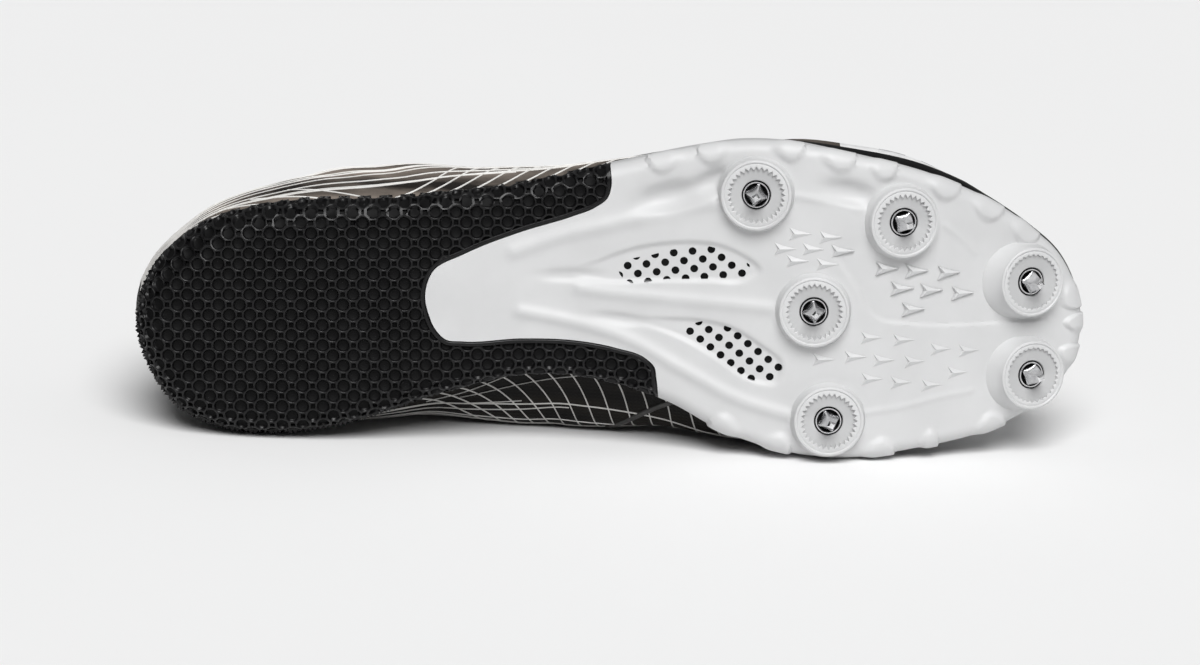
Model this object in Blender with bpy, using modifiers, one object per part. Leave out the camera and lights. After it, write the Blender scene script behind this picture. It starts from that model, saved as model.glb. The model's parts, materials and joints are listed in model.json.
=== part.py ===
"""A right track spike shoe that lies on its medial side.

The shoe is modelled on its last: +X runs from heel to toe, +Y to the medial side and +Z up from
the ground, with the back of the sole at x = 0. An empty then lays the whole shoe on its side.
"""

import math

import bmesh
import bpy
import numpy as np
from mathutils import Matrix, Vector
from mathutils.bvhtree import BVHTree

# Driving sizes of the last and the sole, in metres
SHOE_LENGTH = 0.291
BALL_WIDTH = 0.0975
INSTEP_HEIGHT = 0.080
HEEL_HEIGHT = 0.068
TOE_SPRING = 0.0255
HEEL_STACK = 0.0148
EDGE_RADIUS = 0.0110
WALL = 0.0016
COLLAR_WALL = 0.0040
# The padding fades out ahead of this share of the length and below this share of the wall
COLLAR_REACH = 0.33
PAD_START = 0.55
GAP = 0.0003
FEATHER_INSET = 0.0012
BALANCE_HEIGHT = 0.0136

# The forefoot plate
TONGUE_TOP = 0.0056
WINDOW_DEPTH = 0.0014
BOSS_FLARE_RADIUS = 0.0124
BOSS_LIP_RADIUS = 0.0104
BOSS_MOUTH_RADIUS = 0.0088
BOSS_DISH = 0.0020
BOSS_ROOT = 0.0030
BOSS_BEVEL = 0.0005
BOSS_SEAT = 0.0006

# Threaded inserts and spikes
SOCKET_RADIUS = 0.0043
SOCKET_BORE = 0.0028
SOCKET_DEPTH = 0.0036
SOCKET_FLOOR = 0.0006
SPIKE_BASE = 0.0052
SPIKE_TIP = 0.0022
SPIKE_LENGTH = 0.0066
SHANK_LENGTH = 0.0024
SHANK_LAP = 0.0010

# Rand, insole, tongue and lace
RAND_STEP = 0.0009
RAND_START = 0.62
RAND_FADE = 0.05
RAND_ROWS = 3
INSOLE_THICKNESS = 0.0026
INSOLE_CLEARANCE = 0.0016
TONGUE_THICKNESS = 0.0030
TONGUE_CLEARANCE = 0.0006
TONGUE_FIT = 0.0025
LACE_RADIUS = 0.0014
LACE_LIFT = 1.45
LACE_STEPS = 10
LACE_FEEL = (-0.002, 0.0, 0.002)
LACE_BARS = 6
LACE_FIRST = 0.605
LACE_LAST = 0.365
LACE_OVERLAP = 0.0050
RIM_REACH = 0.03

# Mesh fineness, and how far cutters reach past what they cut
STATIONS = 36
WALL_ROWS = 15
ROUND_SIDES = 24
CUT_MARGIN = 0.03
# The stretch over which the sole's slope under a spike is measured
SLOPE_STEP = 0.002

# The sole's outline, anticlockwise from the back of the heel.
# Columns: x as a share of SHOE_LENGTH, y as a share of BALL_WIDTH
SOLE_OUTLINE = (
    (0.000, 0.030),
    (0.016, -0.135),
    (0.043, -0.222),
    (0.083, -0.297),
    (0.148, -0.346),
    (0.282, -0.370),
    (0.405, -0.412),
    (0.495, -0.471),
    (0.598, -0.537),
    (0.632, -0.552),
    (0.680, -0.549),
    (0.742, -0.513),
    (0.845, -0.423),
    (0.904, -0.333),
    (0.945, -0.246),
    (0.976, -0.154),
    (0.994, -0.041),
    (1.000, 0.070),
    (0.988, 0.205),
    (0.965, 0.290),
    (0.921, 0.365),
    (0.820, 0.431),
    (0.727, 0.450),
    (0.667, 0.419),
    (0.617, 0.368),
    (0.560, 0.277),
    (0.485, 0.207),
    (0.440, 0.190),
    (0.395, 0.197),
    (0.327, 0.247),
    (0.211, 0.356),
    (0.150, 0.380),
    (0.092, 0.367),
    (0.040, 0.292),
    (0.012, 0.170),
)

# The sole from the side.
# Columns: x as a share of SHOE_LENGTH, ground clearance as a share of TOE_SPRING,
# thickness as a share of HEEL_STACK, edge rounding as a share of EDGE_RADIUS
SOLE_PROFILE = (
    (0.00, 0.020, 0.990, 0.95),
    (0.06, 0.000, 1.000, 0.90),
    (0.12, 0.000, 0.990, 0.78),
    (0.21, 0.000, 0.930, 0.64),
    (0.31, 0.040, 0.760, 0.52),
    (0.41, 0.100, 0.620, 0.46),
    (0.52, 0.095, 0.540, 0.42),
    (0.62, 0.025, 0.500, 0.38),
    (0.69, 0.000, 0.480, 0.36),
    (0.75, 0.050, 0.460, 0.36),
    (0.81, 0.185, 0.440, 0.36),
    (0.87, 0.400, 0.420, 0.36),
    (0.93, 0.680, 0.400, 0.36),
    (1.00, 1.000, 0.380, 0.34),
)

# The upper's radial sections, in the outline's order. Each runs from the feather line on the sole
# through its widest point and its shoulder to the rim of the collar or throat.
# Columns: side, x of the feather as a share of SHOE_LENGTH, bulge past the feather as a share of
# BALL_WIDTH, height of the bulge over the sole as a share of INSTEP_HEIGHT, then the shoulder and
# the rim, each as shares of SHOE_LENGTH, BALL_WIDTH and INSTEP_HEIGHT
UPPER_SECTIONS = (
    ("heel", 0.000, 0.018, 0.160, 0.008, 0.020, 0.600, 0.020, 0.015, 0.850),
    ("lateral", 0.040, 0.016, 0.160, 0.034, -0.190, 0.570, 0.044, -0.160, 0.800),
    ("lateral", 0.140, 0.040, 0.170, 0.140, -0.350, 0.450, 0.145, -0.290, 0.640),
    ("lateral", 0.270, 0.058, 0.220, 0.270, -0.385, 0.570, 0.272, -0.290, 0.720),
    ("lateral", 0.360, 0.058, 0.220, 0.355, -0.345, 0.730, 0.345, -0.140, 0.970),
    ("lateral", 0.465, 0.030, 0.190, 0.460, -0.350, 0.660, 0.462, -0.130, 0.850),
    ("lateral", 0.570, -0.006, 0.170, 0.565, -0.390, 0.560, 0.565, -0.110, 0.735),
    ("lateral", 0.725, -0.020, 0.140, 0.705, -0.380, 0.490, 0.645, -0.080, 0.640),
    ("lateral", 0.875, -0.010, 0.120, 0.840, -0.260, 0.530, 0.662, -0.040, 0.620),
    ("toe", 1.000, 0.006, 0.110, 0.935, 0.040, 0.610, 0.668, 0.000, 0.615),
    ("medial", 0.930, -0.004, 0.120, 0.880, 0.250, 0.560, 0.662, 0.040, 0.620),
    ("medial", 0.775, -0.022, 0.130, 0.745, 0.330, 0.510, 0.645, 0.080, 0.640),
    ("medial", 0.620, 0.043, 0.140, 0.605, 0.350, 0.565, 0.565, 0.110, 0.735),
    ("medial", 0.510, 0.166, 0.160, 0.500, 0.345, 0.650, 0.462, 0.130, 0.850),
    ("medial", 0.395, 0.189, 0.200, 0.385, 0.340, 0.710, 0.345, 0.150, 0.970),
    ("medial", 0.275, 0.070, 0.200, 0.275, 0.350, 0.540, 0.272, 0.290, 0.730),
    ("medial", 0.145, -0.022, 0.165, 0.145, 0.335, 0.450, 0.145, 0.290, 0.650),
    ("medial", 0.040, 0.000, 0.160, 0.036, 0.210, 0.570, 0.044, 0.175, 0.800),
)

# The plate's rear tongue with the line where it leaves the rubber arms, lateral end first.
# Columns: x as a share of SHOE_LENGTH, y as a share of BALL_WIDTH
PLATE_BOUNDARY = (
    (0.498, -0.620),
    (0.499, -0.470),
    (0.500, -0.410),
    (0.496, -0.372),
    (0.483, -0.342),
    (0.460, -0.315),
    (0.406, -0.266),
    (0.347, -0.198),
    (0.314, -0.143),
    (0.306, -0.070),
    (0.310, -0.005),
    (0.316, 0.036),
    (0.327, 0.070),
    (0.345, 0.077),
    (0.406, 0.069),
    (0.460, 0.075),
    (0.506, 0.100),
    (0.535, 0.130),
    (0.545, 0.160),
    (0.547, 0.195),
    (0.549, 0.420),
)
# Where the pocket for the tongue ends and the plate fills the sole's thickness
TONGUE_REACH = 0.47
# The lowest dip of the collar at the ankle
ANKLE_X = 0.145
# The shoe's balance point
BALANCE_X = 0.47

# Lens-shaped windows. Columns: x as a share of SHOE_LENGTH, y as a share of BALL_WIDTH
WINDOWS = {
    "lateral": (
        (0.463, -0.140),
        (0.487, -0.170),
        (0.519, -0.206),
        (0.552, -0.225),
        (0.583, -0.231),
        (0.612, -0.222),
        (0.634, -0.195),
        (0.652, -0.148),
        (0.640, -0.124),
        (0.600, -0.121),
        (0.545, -0.119),
        (0.488, -0.118),
    ),
    "medial": (
        (0.520, 0.007),
        (0.555, 0.010),
        (0.590, 0.014),
        (0.621, 0.033),
        (0.654, 0.089),
        (0.676, 0.150),
        (0.670, 0.200),
        (0.654, 0.200),
        (0.638, 0.181),
        (0.606, 0.115),
        (0.574, 0.062),
        (0.531, 0.017),
    ),
}

# Spike seats. Columns: x as a share of SHOE_LENGTH, y as a share of BALL_WIDTH, height of the lip
# over the plate in metres
SPIKE_SEATS = (
    (0.650, -0.389, 0.0036),
    (0.802, -0.297, 0.0036),
    (0.710, -0.023, 0.0036),
    (0.937, -0.089, 0.0050),
    (0.939, 0.208, 0.0050),
    (0.726, 0.323, 0.0036),
)

# The tongue, from under the vamp to its free top.
# Columns: x as a share of SHOE_LENGTH, height at the middle and drop at the edges as shares of
# INSTEP_HEIGHT, half width as a share of BALL_WIDTH
TONGUE_SECTIONS = (
    (0.690, 0.560, 0.040, 0.150),
    (0.640, 0.595, 0.050, 0.190),
    (0.565, 0.675, 0.080, 0.225),
    (0.462, 0.785, 0.110, 0.245),
    (0.345, 0.900, 0.110, 0.225),
    (0.300, 1.010, 0.100, 0.190),
)


def clear_scene():
    for obj in list(bpy.data.objects):
        bpy.data.objects.remove(obj, do_unlink=True)


def interpolate(knots, values, at):
    """A smooth curve through the values, with tangents from their neighbours."""
    knots = np.asarray(knots, float)
    values = np.asarray(values, float)
    slopes = np.gradient(values, knots, axis=0)
    at = np.clip(np.asarray(at, float), knots[0], knots[-1])
    i = np.clip(np.searchsorted(knots, at, side="right") - 1, 0, len(knots) - 2)
    width = knots[i + 1] - knots[i]
    t = (at - knots[i]) / width
    if values.ndim > 1:
        t = t[..., None]
        width = width[..., None]
    start = (2 * t**3 - 3 * t**2 + 1) * values[i] + (t**3 - 2 * t**2 + t) * width * slopes[i]
    end = (3 * t**2 - 2 * t**3) * values[i + 1] + (t**3 - t**2) * width * slopes[i + 1]
    return start + end


def interpolate_loop(knots, values, period, at):
    """The same through values that repeat after one period."""
    knots = np.asarray(knots, float)
    values = np.asarray(values, float)
    around = np.concatenate([knots - period, knots, knots + period])
    return interpolate(around, np.concatenate([values] * 3), np.asarray(at, float) % period)


def rounded_loop(points, steps=24):
    """Points along a smooth closed curve through the given ones."""
    points = np.asarray(points, float)
    spans = np.linalg.norm(np.roll(points, -1, axis=0) - points, axis=1)
    knots = np.concatenate([[0.0], np.cumsum(spans)])
    at = np.concatenate(
        [np.linspace(knots[i], knots[i + 1], steps, endpoint=False) for i in range(len(points))]
    )
    return interpolate_loop(knots[:-1], points, knots[-1], at)


def plan(shares):
    """A table of plan shares in metres."""
    return np.array([(x * SHOE_LENGTH, y * BALL_WIDTH) for x, y in shares])


OUTLINE = rounded_loop(plan(SOLE_OUTLINE))
HEEL_X = OUTLINE[:, 0].min()
TOE_X = OUTLINE[:, 0].max()


def outline_sides():
    """The lateral and the medial edge of the outline, each from heel to toe."""
    heel = int(OUTLINE[:, 0].argmin())
    loop = np.roll(OUTLINE, -heel, axis=0)
    toe = int(loop[:, 0].argmax())
    medial = np.concatenate([loop[toe:], loop[:1]])[::-1]
    return loop[: toe + 1], medial


LATERAL_EDGE, MEDIAL_EDGE = outline_sides()


def edge_y(side, x):
    edge = LATERAL_EDGE if side == "lateral" else MEDIAL_EDGE
    return np.interp(x, edge[:, 0], edge[:, 1])


def station(side, x_share):
    """Where a place on the outline falls in the ring of stations."""
    if side == "heel":
        return 0.0
    if side == "toe":
        return float(STATIONS)
    along = np.clip((x_share * SHOE_LENGTH - HEEL_X) / (TOE_X - HEEL_X), 0, 1)
    k = math.acos(1 - 2 * along) * STATIONS / math.pi
    return k if side == "lateral" else 2 * STATIONS - k


def outline_ring():
    """The outline at the ring's stations: lateral ones to the toe, then medial ones back."""
    along = 0.5 - 0.5 * np.cos(np.pi * np.arange(STATIONS + 1) / STATIONS)
    x = HEEL_X + (TOE_X - HEEL_X) * along
    lateral = np.stack([x, edge_y("lateral", x)], axis=1)
    medial = np.stack([x, edge_y("medial", x)], axis=1)
    return np.concatenate([lateral, medial[-2:0:-1]])


RING = outline_ring()


def inward_normals(ring):
    along = np.roll(ring, -1, axis=0) - np.roll(ring, 1, axis=0)
    along /= np.linalg.norm(along, axis=1)[:, None]
    return np.stack([-along[:, 1], along[:, 0]], axis=1)


RING_INWARD = inward_normals(RING)


def sole_profile(x):
    """Bottom height, top height and edge rounding of the sole at x."""
    table = np.array(SOLE_PROFILE)
    values = interpolate(table[:, 0] * SHOE_LENGTH, table[:, 1:], x)
    bottom = np.maximum(values[..., 0], 0) * TOE_SPRING
    return bottom, bottom + values[..., 1] * HEEL_STACK, values[..., 2] * EDGE_RADIUS


def bottom_frame(x, y):
    """The frame of the sole's bottom there, with +Z out of the sole."""
    step = SLOPE_STEP
    bottom = float(sole_profile(np.array(x))[0])
    rise = float(sole_profile(np.array(x + step))[0] - sole_profile(np.array(x - step))[0])
    slope = rise / (2 * step)
    out = Vector((slope, 0, -1)).normalized()
    toe = Vector((1, 0, slope)).normalized()
    side = out.cross(toe)
    frame = Matrix((toe, side, out)).transposed().to_4x4()
    frame.translation = (x, y, bottom)
    return frame


def material(name, colour, roughness, metallic=0.0):
    made = bpy.data.materials.new(name)
    made.use_nodes = True
    shader = made.node_tree.nodes["Principled BSDF"]
    shader.inputs["Base Color"].default_value = (*colour, 1)
    shader.inputs["Roughness"].default_value = roughness
    shader.inputs["Metallic"].default_value = metallic
    made.diffuse_color = (*colour, 1)
    return made


def collection(name):
    made = bpy.data.collections.new(name)
    bpy.context.scene.collection.children.link(made)
    return made


def add_object(name, mesh, group, finish=None):
    obj = bpy.data.objects.new(name, mesh)
    group.objects.link(obj)
    if finish:
        mesh.materials.append(finish)
    return obj


def mesh_from(bm, name):
    bmesh.ops.recalc_face_normals(bm, faces=bm.faces)
    mesh = bpy.data.meshes.new(name)
    bm.to_mesh(mesh)
    bm.free()
    return mesh


def loft(bm, rings, closed=True):
    """Quads between one ring of points and the next."""
    rows = [[bm.verts.new(tuple(point)) for point in ring] for ring in rings]
    for low, high in zip(rows, rows[1:]):
        count = len(low)
        for i in range(count if closed else count - 1):
            j = (i + 1) % count
            bm.faces.new((low[i], low[j], high[j], high[i]))
    return rows


def cap_across(bm, row):
    """Closes a ring of stations with strips from its lateral to its medial points."""
    half = len(row) // 2
    bm.faces.new((row[0], row[1], row[-1]))
    for k in range(1, half - 1):
        bm.faces.new((row[k], row[k + 1], row[-k - 1], row[-k]))
    bm.faces.new((row[half - 1], row[half], row[half + 1]))


def inset_ring(inset, height):
    """The ring of stations moved inwards, at heights worked out there."""
    inset = np.broadcast_to(np.asarray(inset, float), len(RING))
    flat = RING + RING_INWARD * inset[:, None]
    return np.column_stack([flat, height(flat[:, 0])])


def sole_rings():
    """The sole from its top edge, down its side and round its lower edge."""
    radius = sole_profile(RING[:, 0])[2]
    top = sole_profile(RING[:, 0])[1]
    bottom = sole_profile(RING[:, 0])[0]
    rings = [np.column_stack([RING, top])]
    for angle in np.radians((0, 22, 45, 68, 90)):
        inset = radius * (1 - math.cos(angle))
        flat = RING + RING_INWARD * inset[:, None]
        depth = np.minimum(bottom + radius * (1 - math.sin(angle)), top - 0.1 * (top - bottom))
        if angle == np.radians(90):
            depth = sole_profile(flat[:, 0])[0]
        rings.append(np.column_stack([flat, depth]))
    return rings


def sole_body(name, group):
    bm = bmesh.new()
    rows = loft(bm, sole_rings())
    cap_across(bm, rows[0])
    cap_across(bm, rows[-1])
    return add_object(name, mesh_from(bm, name), group)


def grown(points, by):
    """A plan polygon moved outwards; its points run clockwise or anticlockwise."""
    points = np.asarray(points, float)
    area = np.sum(points[:, 0] * np.roll(points[:, 1], -1) - np.roll(points[:, 0], -1) * points[:, 1])
    return points - inward_normals(points) * by * np.sign(area)


def prism(name, points, low, high, group):
    """A closed prism over a plan outline, for cutting."""
    bm = bmesh.new()
    rows = loft(bm, [[(x, y, z) for x, y in points] for z in (low, high)])
    for row in rows:
        bm.faces.new(row)
    obj = add_object(name, mesh_from(bm, name), group)
    obj.hide_render = True
    obj.display_type = "WIRE"
    return obj


def boolean(obj, other, operation):
    modifier = obj.modifiers.new(other.name, "BOOLEAN")
    modifier.operation = operation
    modifier.object = other
    modifier.solver = "MANIFOLD"


def applied(obj):
    """Makes the evaluated shape the object's own mesh."""
    graph = bpy.context.evaluated_depsgraph_get()
    graph.update()
    mesh = bpy.data.meshes.new_from_object(obj.evaluated_get(graph))
    obj.modifiers.clear()
    obj.data = mesh


def clipped(points, low_x):
    """The part of a plan polygon that lies ahead of low_x."""
    kept = []
    for start, end in zip(points, np.roll(points, -1, axis=0)):
        if start[0] >= low_x:
            kept.append(start)
        if (start[0] < low_x) != (end[0] < low_x):
            share = (low_x - start[0]) / (end[0] - start[0])
            kept.append(start + share * (end - start))
    return np.array(kept)


def plate_zone(name, clearance, group):
    """The space that the plate takes out of the sole, grown by a clearance."""
    boundary = plan(PLATE_BOUNDARY)
    lateral = boundary[0, 1] - CUT_MARGIN
    medial = boundary[-1, 1] + CUT_MARGIN
    front = TOE_X + CUT_MARGIN
    corners = [(boundary[-1, 0], medial), (front, medial), (front, lateral), (boundary[0, 0], lateral)]
    outline = np.array([*boundary, *corners])
    ahead = clipped(outline, TONGUE_REACH * SHOE_LENGTH)
    top = TONGUE_TOP + clearance
    pocket = prism(name + "_pocket", grown(outline, clearance), -CUT_MARGIN, top, group)
    zone = prism(name, grown(ahead, clearance), -CUT_MARGIN, 3 * CUT_MARGIN, group)
    boolean(zone, pocket, "UNION")
    applied(zone)
    return zone


def turned(name, profile, sides, group):
    """A closed turned solid from (radius, height) points, axis points included."""
    mesh = bpy.data.meshes.new(name)
    edges = [(i, i + 1) for i in range(len(profile) - 1)]
    mesh.from_pydata([(r, 0, z) for r, z in profile], edges, [])
    obj = add_object(name, mesh, group)
    screw = obj.modifiers.new("Turn", "SCREW")
    screw.steps = sides
    screw.render_steps = sides
    screw.use_merge_vertices = True
    screw.merge_threshold = 0.00001
    screw.use_normal_calculate = True
    applied(obj)
    bm = bmesh.new()
    bm.from_mesh(obj.data)
    bmesh.ops.remove_doubles(bm, verts=bm.verts, dist=0.000005)
    obj.data = mesh_from(bm, name)
    return obj


def boss_profile(height):
    """From the plate up the flare, over the lip and down the dish to the axis."""
    return (
        (0, -BOSS_ROOT),
        (BOSS_FLARE_RADIUS, -BOSS_ROOT),
        (BOSS_FLARE_RADIUS, -0.1 * BOSS_ROOT),
        (BOSS_LIP_RADIUS + BOSS_BEVEL, height * 0.86),
        (BOSS_LIP_RADIUS, height),
        (BOSS_MOUTH_RADIUS, height),
        (SOCKET_RADIUS + BOSS_SEAT, height - BOSS_DISH),
        (0, height - BOSS_DISH),
    )


def seat_frame(index):
    x, y, height = SPIKE_SEATS[index]
    return bottom_frame(x * SHOE_LENGTH, y * BALL_WIDTH), height


def make_plate(group, helpers, finish):
    plate = sole_body("spike_plate", group)
    zone = plate_zone("plate_zone", 0.0, helpers)
    boolean(plate, zone, "INTERSECT")
    for side, shares in WINDOWS.items():
        edge = plan(shares)
        centre = edge.mean(axis=0)
        low = float(sole_profile(np.array(centre[0]))[0])
        pocket = prism("window_" + side, edge, low - CUT_MARGIN, low + WINDOW_DEPTH, helpers)
        boolean(plate, pocket, "DIFFERENCE")
    for index in range(len(SPIKE_SEATS)):
        frame, height = seat_frame(index)
        boss = turned(f"boss_{index + 1}", boss_profile(height), ROUND_SIDES, helpers)
        boss.matrix_world = frame
        boss.hide_render = True
        boss.display_type = "WIRE"
        boolean(plate, boss, "UNION")
        radius = SOCKET_RADIUS + GAP
        floor = height - BOSS_DISH - SOCKET_DEPTH - GAP
        well = turned(
            f"well_{index + 1}",
            ((0, floor), (radius, floor), (radius, height + CUT_MARGIN), (0, height + CUT_MARGIN)),
            ROUND_SIDES,
            helpers,
        )
        well.matrix_world = frame
        well.hide_render = True
        well.display_type = "WIRE"
        boolean(plate, well, "DIFFERENCE")
    plate.data.materials.append(finish)


def make_heel(group, helpers, finish):
    heel = sole_body("heel_outsole", group)
    zone = plate_zone("heel_zone", GAP, helpers)
    boolean(heel, zone, "DIFFERENCE")
    heel.data.materials.append(finish)


def make_sockets(group, finish):
    for index in range(len(SPIKE_SEATS)):
        frame, height = seat_frame(index)
        top = height - BOSS_DISH
        low = top - SOCKET_DEPTH
        profile = (
            (0, low),
            (SOCKET_RADIUS, low),
            (SOCKET_RADIUS, top),
            (SOCKET_BORE, top),
            (SOCKET_BORE, low + SOCKET_FLOOR),
            (0, low + SOCKET_FLOOR),
        )
        socket = turned(f"socket_{index + 1}", profile, ROUND_SIDES, group)
        socket.matrix_world = frame
        socket.data.materials.append(finish)


def make_spikes(group, finish):
    for index in range(len(SPIKE_SEATS)):
        frame, height = seat_frame(index)
        base = height - BOSS_DISH + GAP
        half = math.sqrt(0.5)
        bm = bmesh.new()
        bmesh.ops.create_cone(
            bm,
            cap_ends=True,
            segments=4,
            radius1=SPIKE_BASE * half,
            radius2=SPIKE_TIP * half,
            depth=SPIKE_LENGTH,
            matrix=Matrix.Translation((0, 0, base + SPIKE_LENGTH / 2)),
        )
        spike = add_object(f"spike_{index + 1}", mesh_from(bm, "pyramid"), group)
        shank = turned(
            f"shank_{index + 1}",
            (
                (0, base + SHANK_LAP),
                (SOCKET_BORE - GAP, base + SHANK_LAP),
                (SOCKET_BORE - GAP, base - SHANK_LENGTH),
                (0, base - SHANK_LENGTH),
            ),
            12,
            group,
        )
        boolean(spike, shank, "UNION")
        applied(spike)
        bpy.data.objects.remove(shank, do_unlink=True)
        spike.matrix_world = frame
        spike.data.materials.append(finish)


def upper_columns():
    """Feather, bulge, shoulder and rim at every station of the ring."""
    knots = []
    values = []
    for side, at, bulge, bulge_z, *rest in UPPER_SECTIONS:
        knots.append(station(side, at))
        values.append([bulge * BALL_WIDTH, bulge_z * INSTEP_HEIGHT, *rest])
    columns = interpolate_loop(knots, values, 2 * STATIONS, np.arange(2 * STATIONS))
    scale = np.array([SHOE_LENGTH, BALL_WIDTH, INSTEP_HEIGHT] * 2)
    columns[:, 2:] *= scale
    return columns


def wall_point_rows(rows):
    """The outer face of the upper as rings, from the feather line to the rim."""
    columns = upper_columns()
    top = sole_profile(RING[:, 0])[1] + GAP
    feather = np.column_stack([RING + RING_INWARD * FEATHER_INSET, top])
    bulge = np.column_stack([RING - RING_INWARD * columns[:, :1], top + columns[:, 1]])
    shoulder = columns[:, 2:5].copy()
    rim = columns[:, 5:8].copy()
    # The back of the collar reaches the heel height, whatever the instep's
    back = np.clip(1 - rim[:, 0] / (ANKLE_X * SHOE_LENGTH), 0, 1) ** 0.5
    lift = HEEL_HEIGHT / rim[0, 2]
    rim[:, 2] *= 1 + (lift - 1) * back / back[0]
    return section_curves(np.stack([feather, bulge, shoulder, rim], axis=1), rows)


def section_curves(guides, rows):
    """Each section's smooth curve through its guide points, read at shares of its length."""
    rings = np.zeros((len(rows), len(guides), 3))
    for i, points in enumerate(guides):
        spans = np.linalg.norm(np.diff(points, axis=0), axis=1)
        knots = np.concatenate([[0], np.cumsum(spans)])
        fine = interpolate(knots, points, np.linspace(0, knots[-1], 60))
        lengths = np.concatenate([[0], np.cumsum(np.linalg.norm(np.diff(fine, axis=0), axis=1))])
        at = np.asarray(rows) * lengths[-1]
        rings[:, i] = np.stack([np.interp(at, lengths, fine[:, k]) for k in range(3)], axis=1)
    return rings


def make_upper(group, finish):
    rows = np.concatenate([[0, 0.04, 0.10, 0.13], np.linspace(0.2, 1, WALL_ROWS - 4)])
    rings = wall_point_rows(rows)
    bm = bmesh.new()
    loft(bm, rings)
    mesh = mesh_from(bm, "upper")
    upper = add_object("upper", mesh, group, finish)
    thick = upper.vertex_groups.new(name="wall")
    count = 2 * STATIONS
    for row, share in enumerate(rows):
        for i in range(count):
            x = rings[row, i, 0]
            collar = max(0.0, 1 - x / (COLLAR_REACH * SHOE_LENGTH)) ** 0.5
            height = max(0.0, (share - PAD_START) / (1 - PAD_START))
            pad = math.sin(math.pi * min(height * 0.75, 1.0))
            wall = WALL + (COLLAR_WALL - WALL) * collar * pad
            thick.add([row * count + i], wall / COLLAR_WALL, "REPLACE")
    raise_rand(mesh, rings)
    shell = upper.modifiers.new("Wall", "SOLIDIFY")
    shell.thickness = COLLAR_WALL
    shell.offset = -1
    shell.use_rim = True
    shell.vertex_group = "wall"
    mesh.shade_smooth()
    return upper


def raise_rand(mesh, rings):
    """Lifts the wall's lowest rows round the forefoot by the rand's step."""
    count = 2 * STATIONS
    for row in range(RAND_ROWS):
        for i in range(count):
            x = rings[row, i, 0] / SHOE_LENGTH
            amount = min(max((x - RAND_START) / RAND_FADE, 0), 1)
            out = -RING_INWARD[i] * RAND_STEP * amount
            vert = mesh.vertices[row * count + i]
            vert.co.x += out[0]
            vert.co.y += out[1]


def make_insole(group, finish):
    bm = bmesh.new()
    inset = FEATHER_INSET + WALL + INSOLE_CLEARANCE
    low = inset_ring(inset, lambda x: sole_profile(x)[1] + GAP)
    high = low + np.array([0, 0, INSOLE_THICKNESS])
    rows = loft(bm, [low, high])
    for row in rows:
        cap_across(bm, row)
    add_object("insole", mesh_from(bm, "insole"), group, finish)


def under_upper(upper):
    """A function that gives the height of the upper's inner face over a place, or none."""
    graph = bpy.context.evaluated_depsgraph_get()
    graph.update()
    tree = BVHTree.FromObject(upper, graph)

    def height(x, y):
        found = math.inf
        for dx in (-TONGUE_FIT, 0, TONGUE_FIT):
            for dy in (-TONGUE_FIT, 0, TONGUE_FIT):
                start = Vector((x + dx, y + dy, 0.35 * INSTEP_HEIGHT))
                hit = tree.ray_cast(start, Vector((0, 0, 1)))[0]
                found = min(found, hit.z if hit else math.inf)
        return found

    return height


def tongue_surface(lengthways, crossways, ceiling):
    """Points of the tongue's top face, kept under the upper."""
    table = np.array(TONGUE_SECTIONS)[::-1]
    knots = table[:, 0] * SHOE_LENGTH
    x = np.linspace(knots[0], knots[-1], lengthways)
    values = interpolate(knots, table[:, 1:], x)
    across = np.linspace(-1, 1, crossways)
    rows = []
    for i in range(lengthways):
        middle, drop, half = values[i] * np.array([INSTEP_HEIGHT, INSTEP_HEIGHT, BALL_WIDTH])
        row = []
        for s in across:
            y = half * s
            z = middle - drop * s * s
            row.append((x[i], y, min(z, ceiling(x[i], y) - TONGUE_CLEARANCE)))
        rows.append(row)
    return rows


def make_tongue(upper, group, finish):
    bm = bmesh.new()
    loft(bm, tongue_surface(14, 11, under_upper(upper)), closed=False)
    tongue = add_object("tongue", mesh_from(bm, "tongue"), group, finish)
    shell = tongue.modifiers.new("Padding", "SOLIDIFY")
    shell.thickness = TONGUE_THICKNESS
    shell.offset = -1
    tongue.data.shade_smooth()
    return tongue


def lace_ground(upper, tongue):
    """A function that gives the height of the upper or tongue, whichever is on top there."""
    graph = bpy.context.evaluated_depsgraph_get()
    graph.update()
    trees = [BVHTree.FromObject(obj, graph) for obj in (upper, tongue)]

    def height(x, y):
        start = Vector((x, y, 2 * INSTEP_HEIGHT))
        hits = [tree.ray_cast(start, Vector((0, 0, -1)))[0] for tree in trees]
        return max(hit.z for hit in hits if hit)

    return height


def rim_half_width(x):
    """Half the throat's width at x."""
    rims = [row for row in UPPER_SECTIONS if row[0] == "lateral" and row[7] > LACE_LAST - RIM_REACH]
    rims.sort(key=lambda row: row[7])
    knots = np.array([row[7] for row in rims]) * SHOE_LENGTH
    return np.interp(x, knots, [-row[8] * BALL_WIDTH for row in rims])


def lace_route(upper, tongue):
    """A serpentine over the tongue from one edge of the throat to the other, lowest bar first."""
    ground = lace_ground(upper, tongue)
    ends = []
    for bar in range(LACE_BARS):
        share = LACE_FIRST + (LACE_LAST - LACE_FIRST) * bar / (LACE_BARS - 1)
        x = share * SHOE_LENGTH
        half = rim_half_width(x) + LACE_OVERLAP
        side = -1 if bar % 2 == 0 else 1
        ends += [(x, side * half), (x, -side * half)]
    points = []
    for index, (start, end) in enumerate(zip(ends, ends[1:])):
        steps = LACE_STEPS if index % 2 == 0 else LACE_STEPS // 2
        for share in np.arange(steps) / steps:
            x, y = np.array(start) * (1 - share) + np.array(end) * share
            around = [ground(x + dx, y + dy) for dx in LACE_FEEL for dy in LACE_FEEL]
            rim = rim_half_width(x)
            if abs(y) < rim + LACE_RADIUS:
                around += [ground(x + dx, side * rim * 1.1) for dx in LACE_FEEL for side in (-1, 1)]
            points.append((x, y, max(around) + LACE_LIFT * LACE_RADIUS + GAP))
    return points


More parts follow.
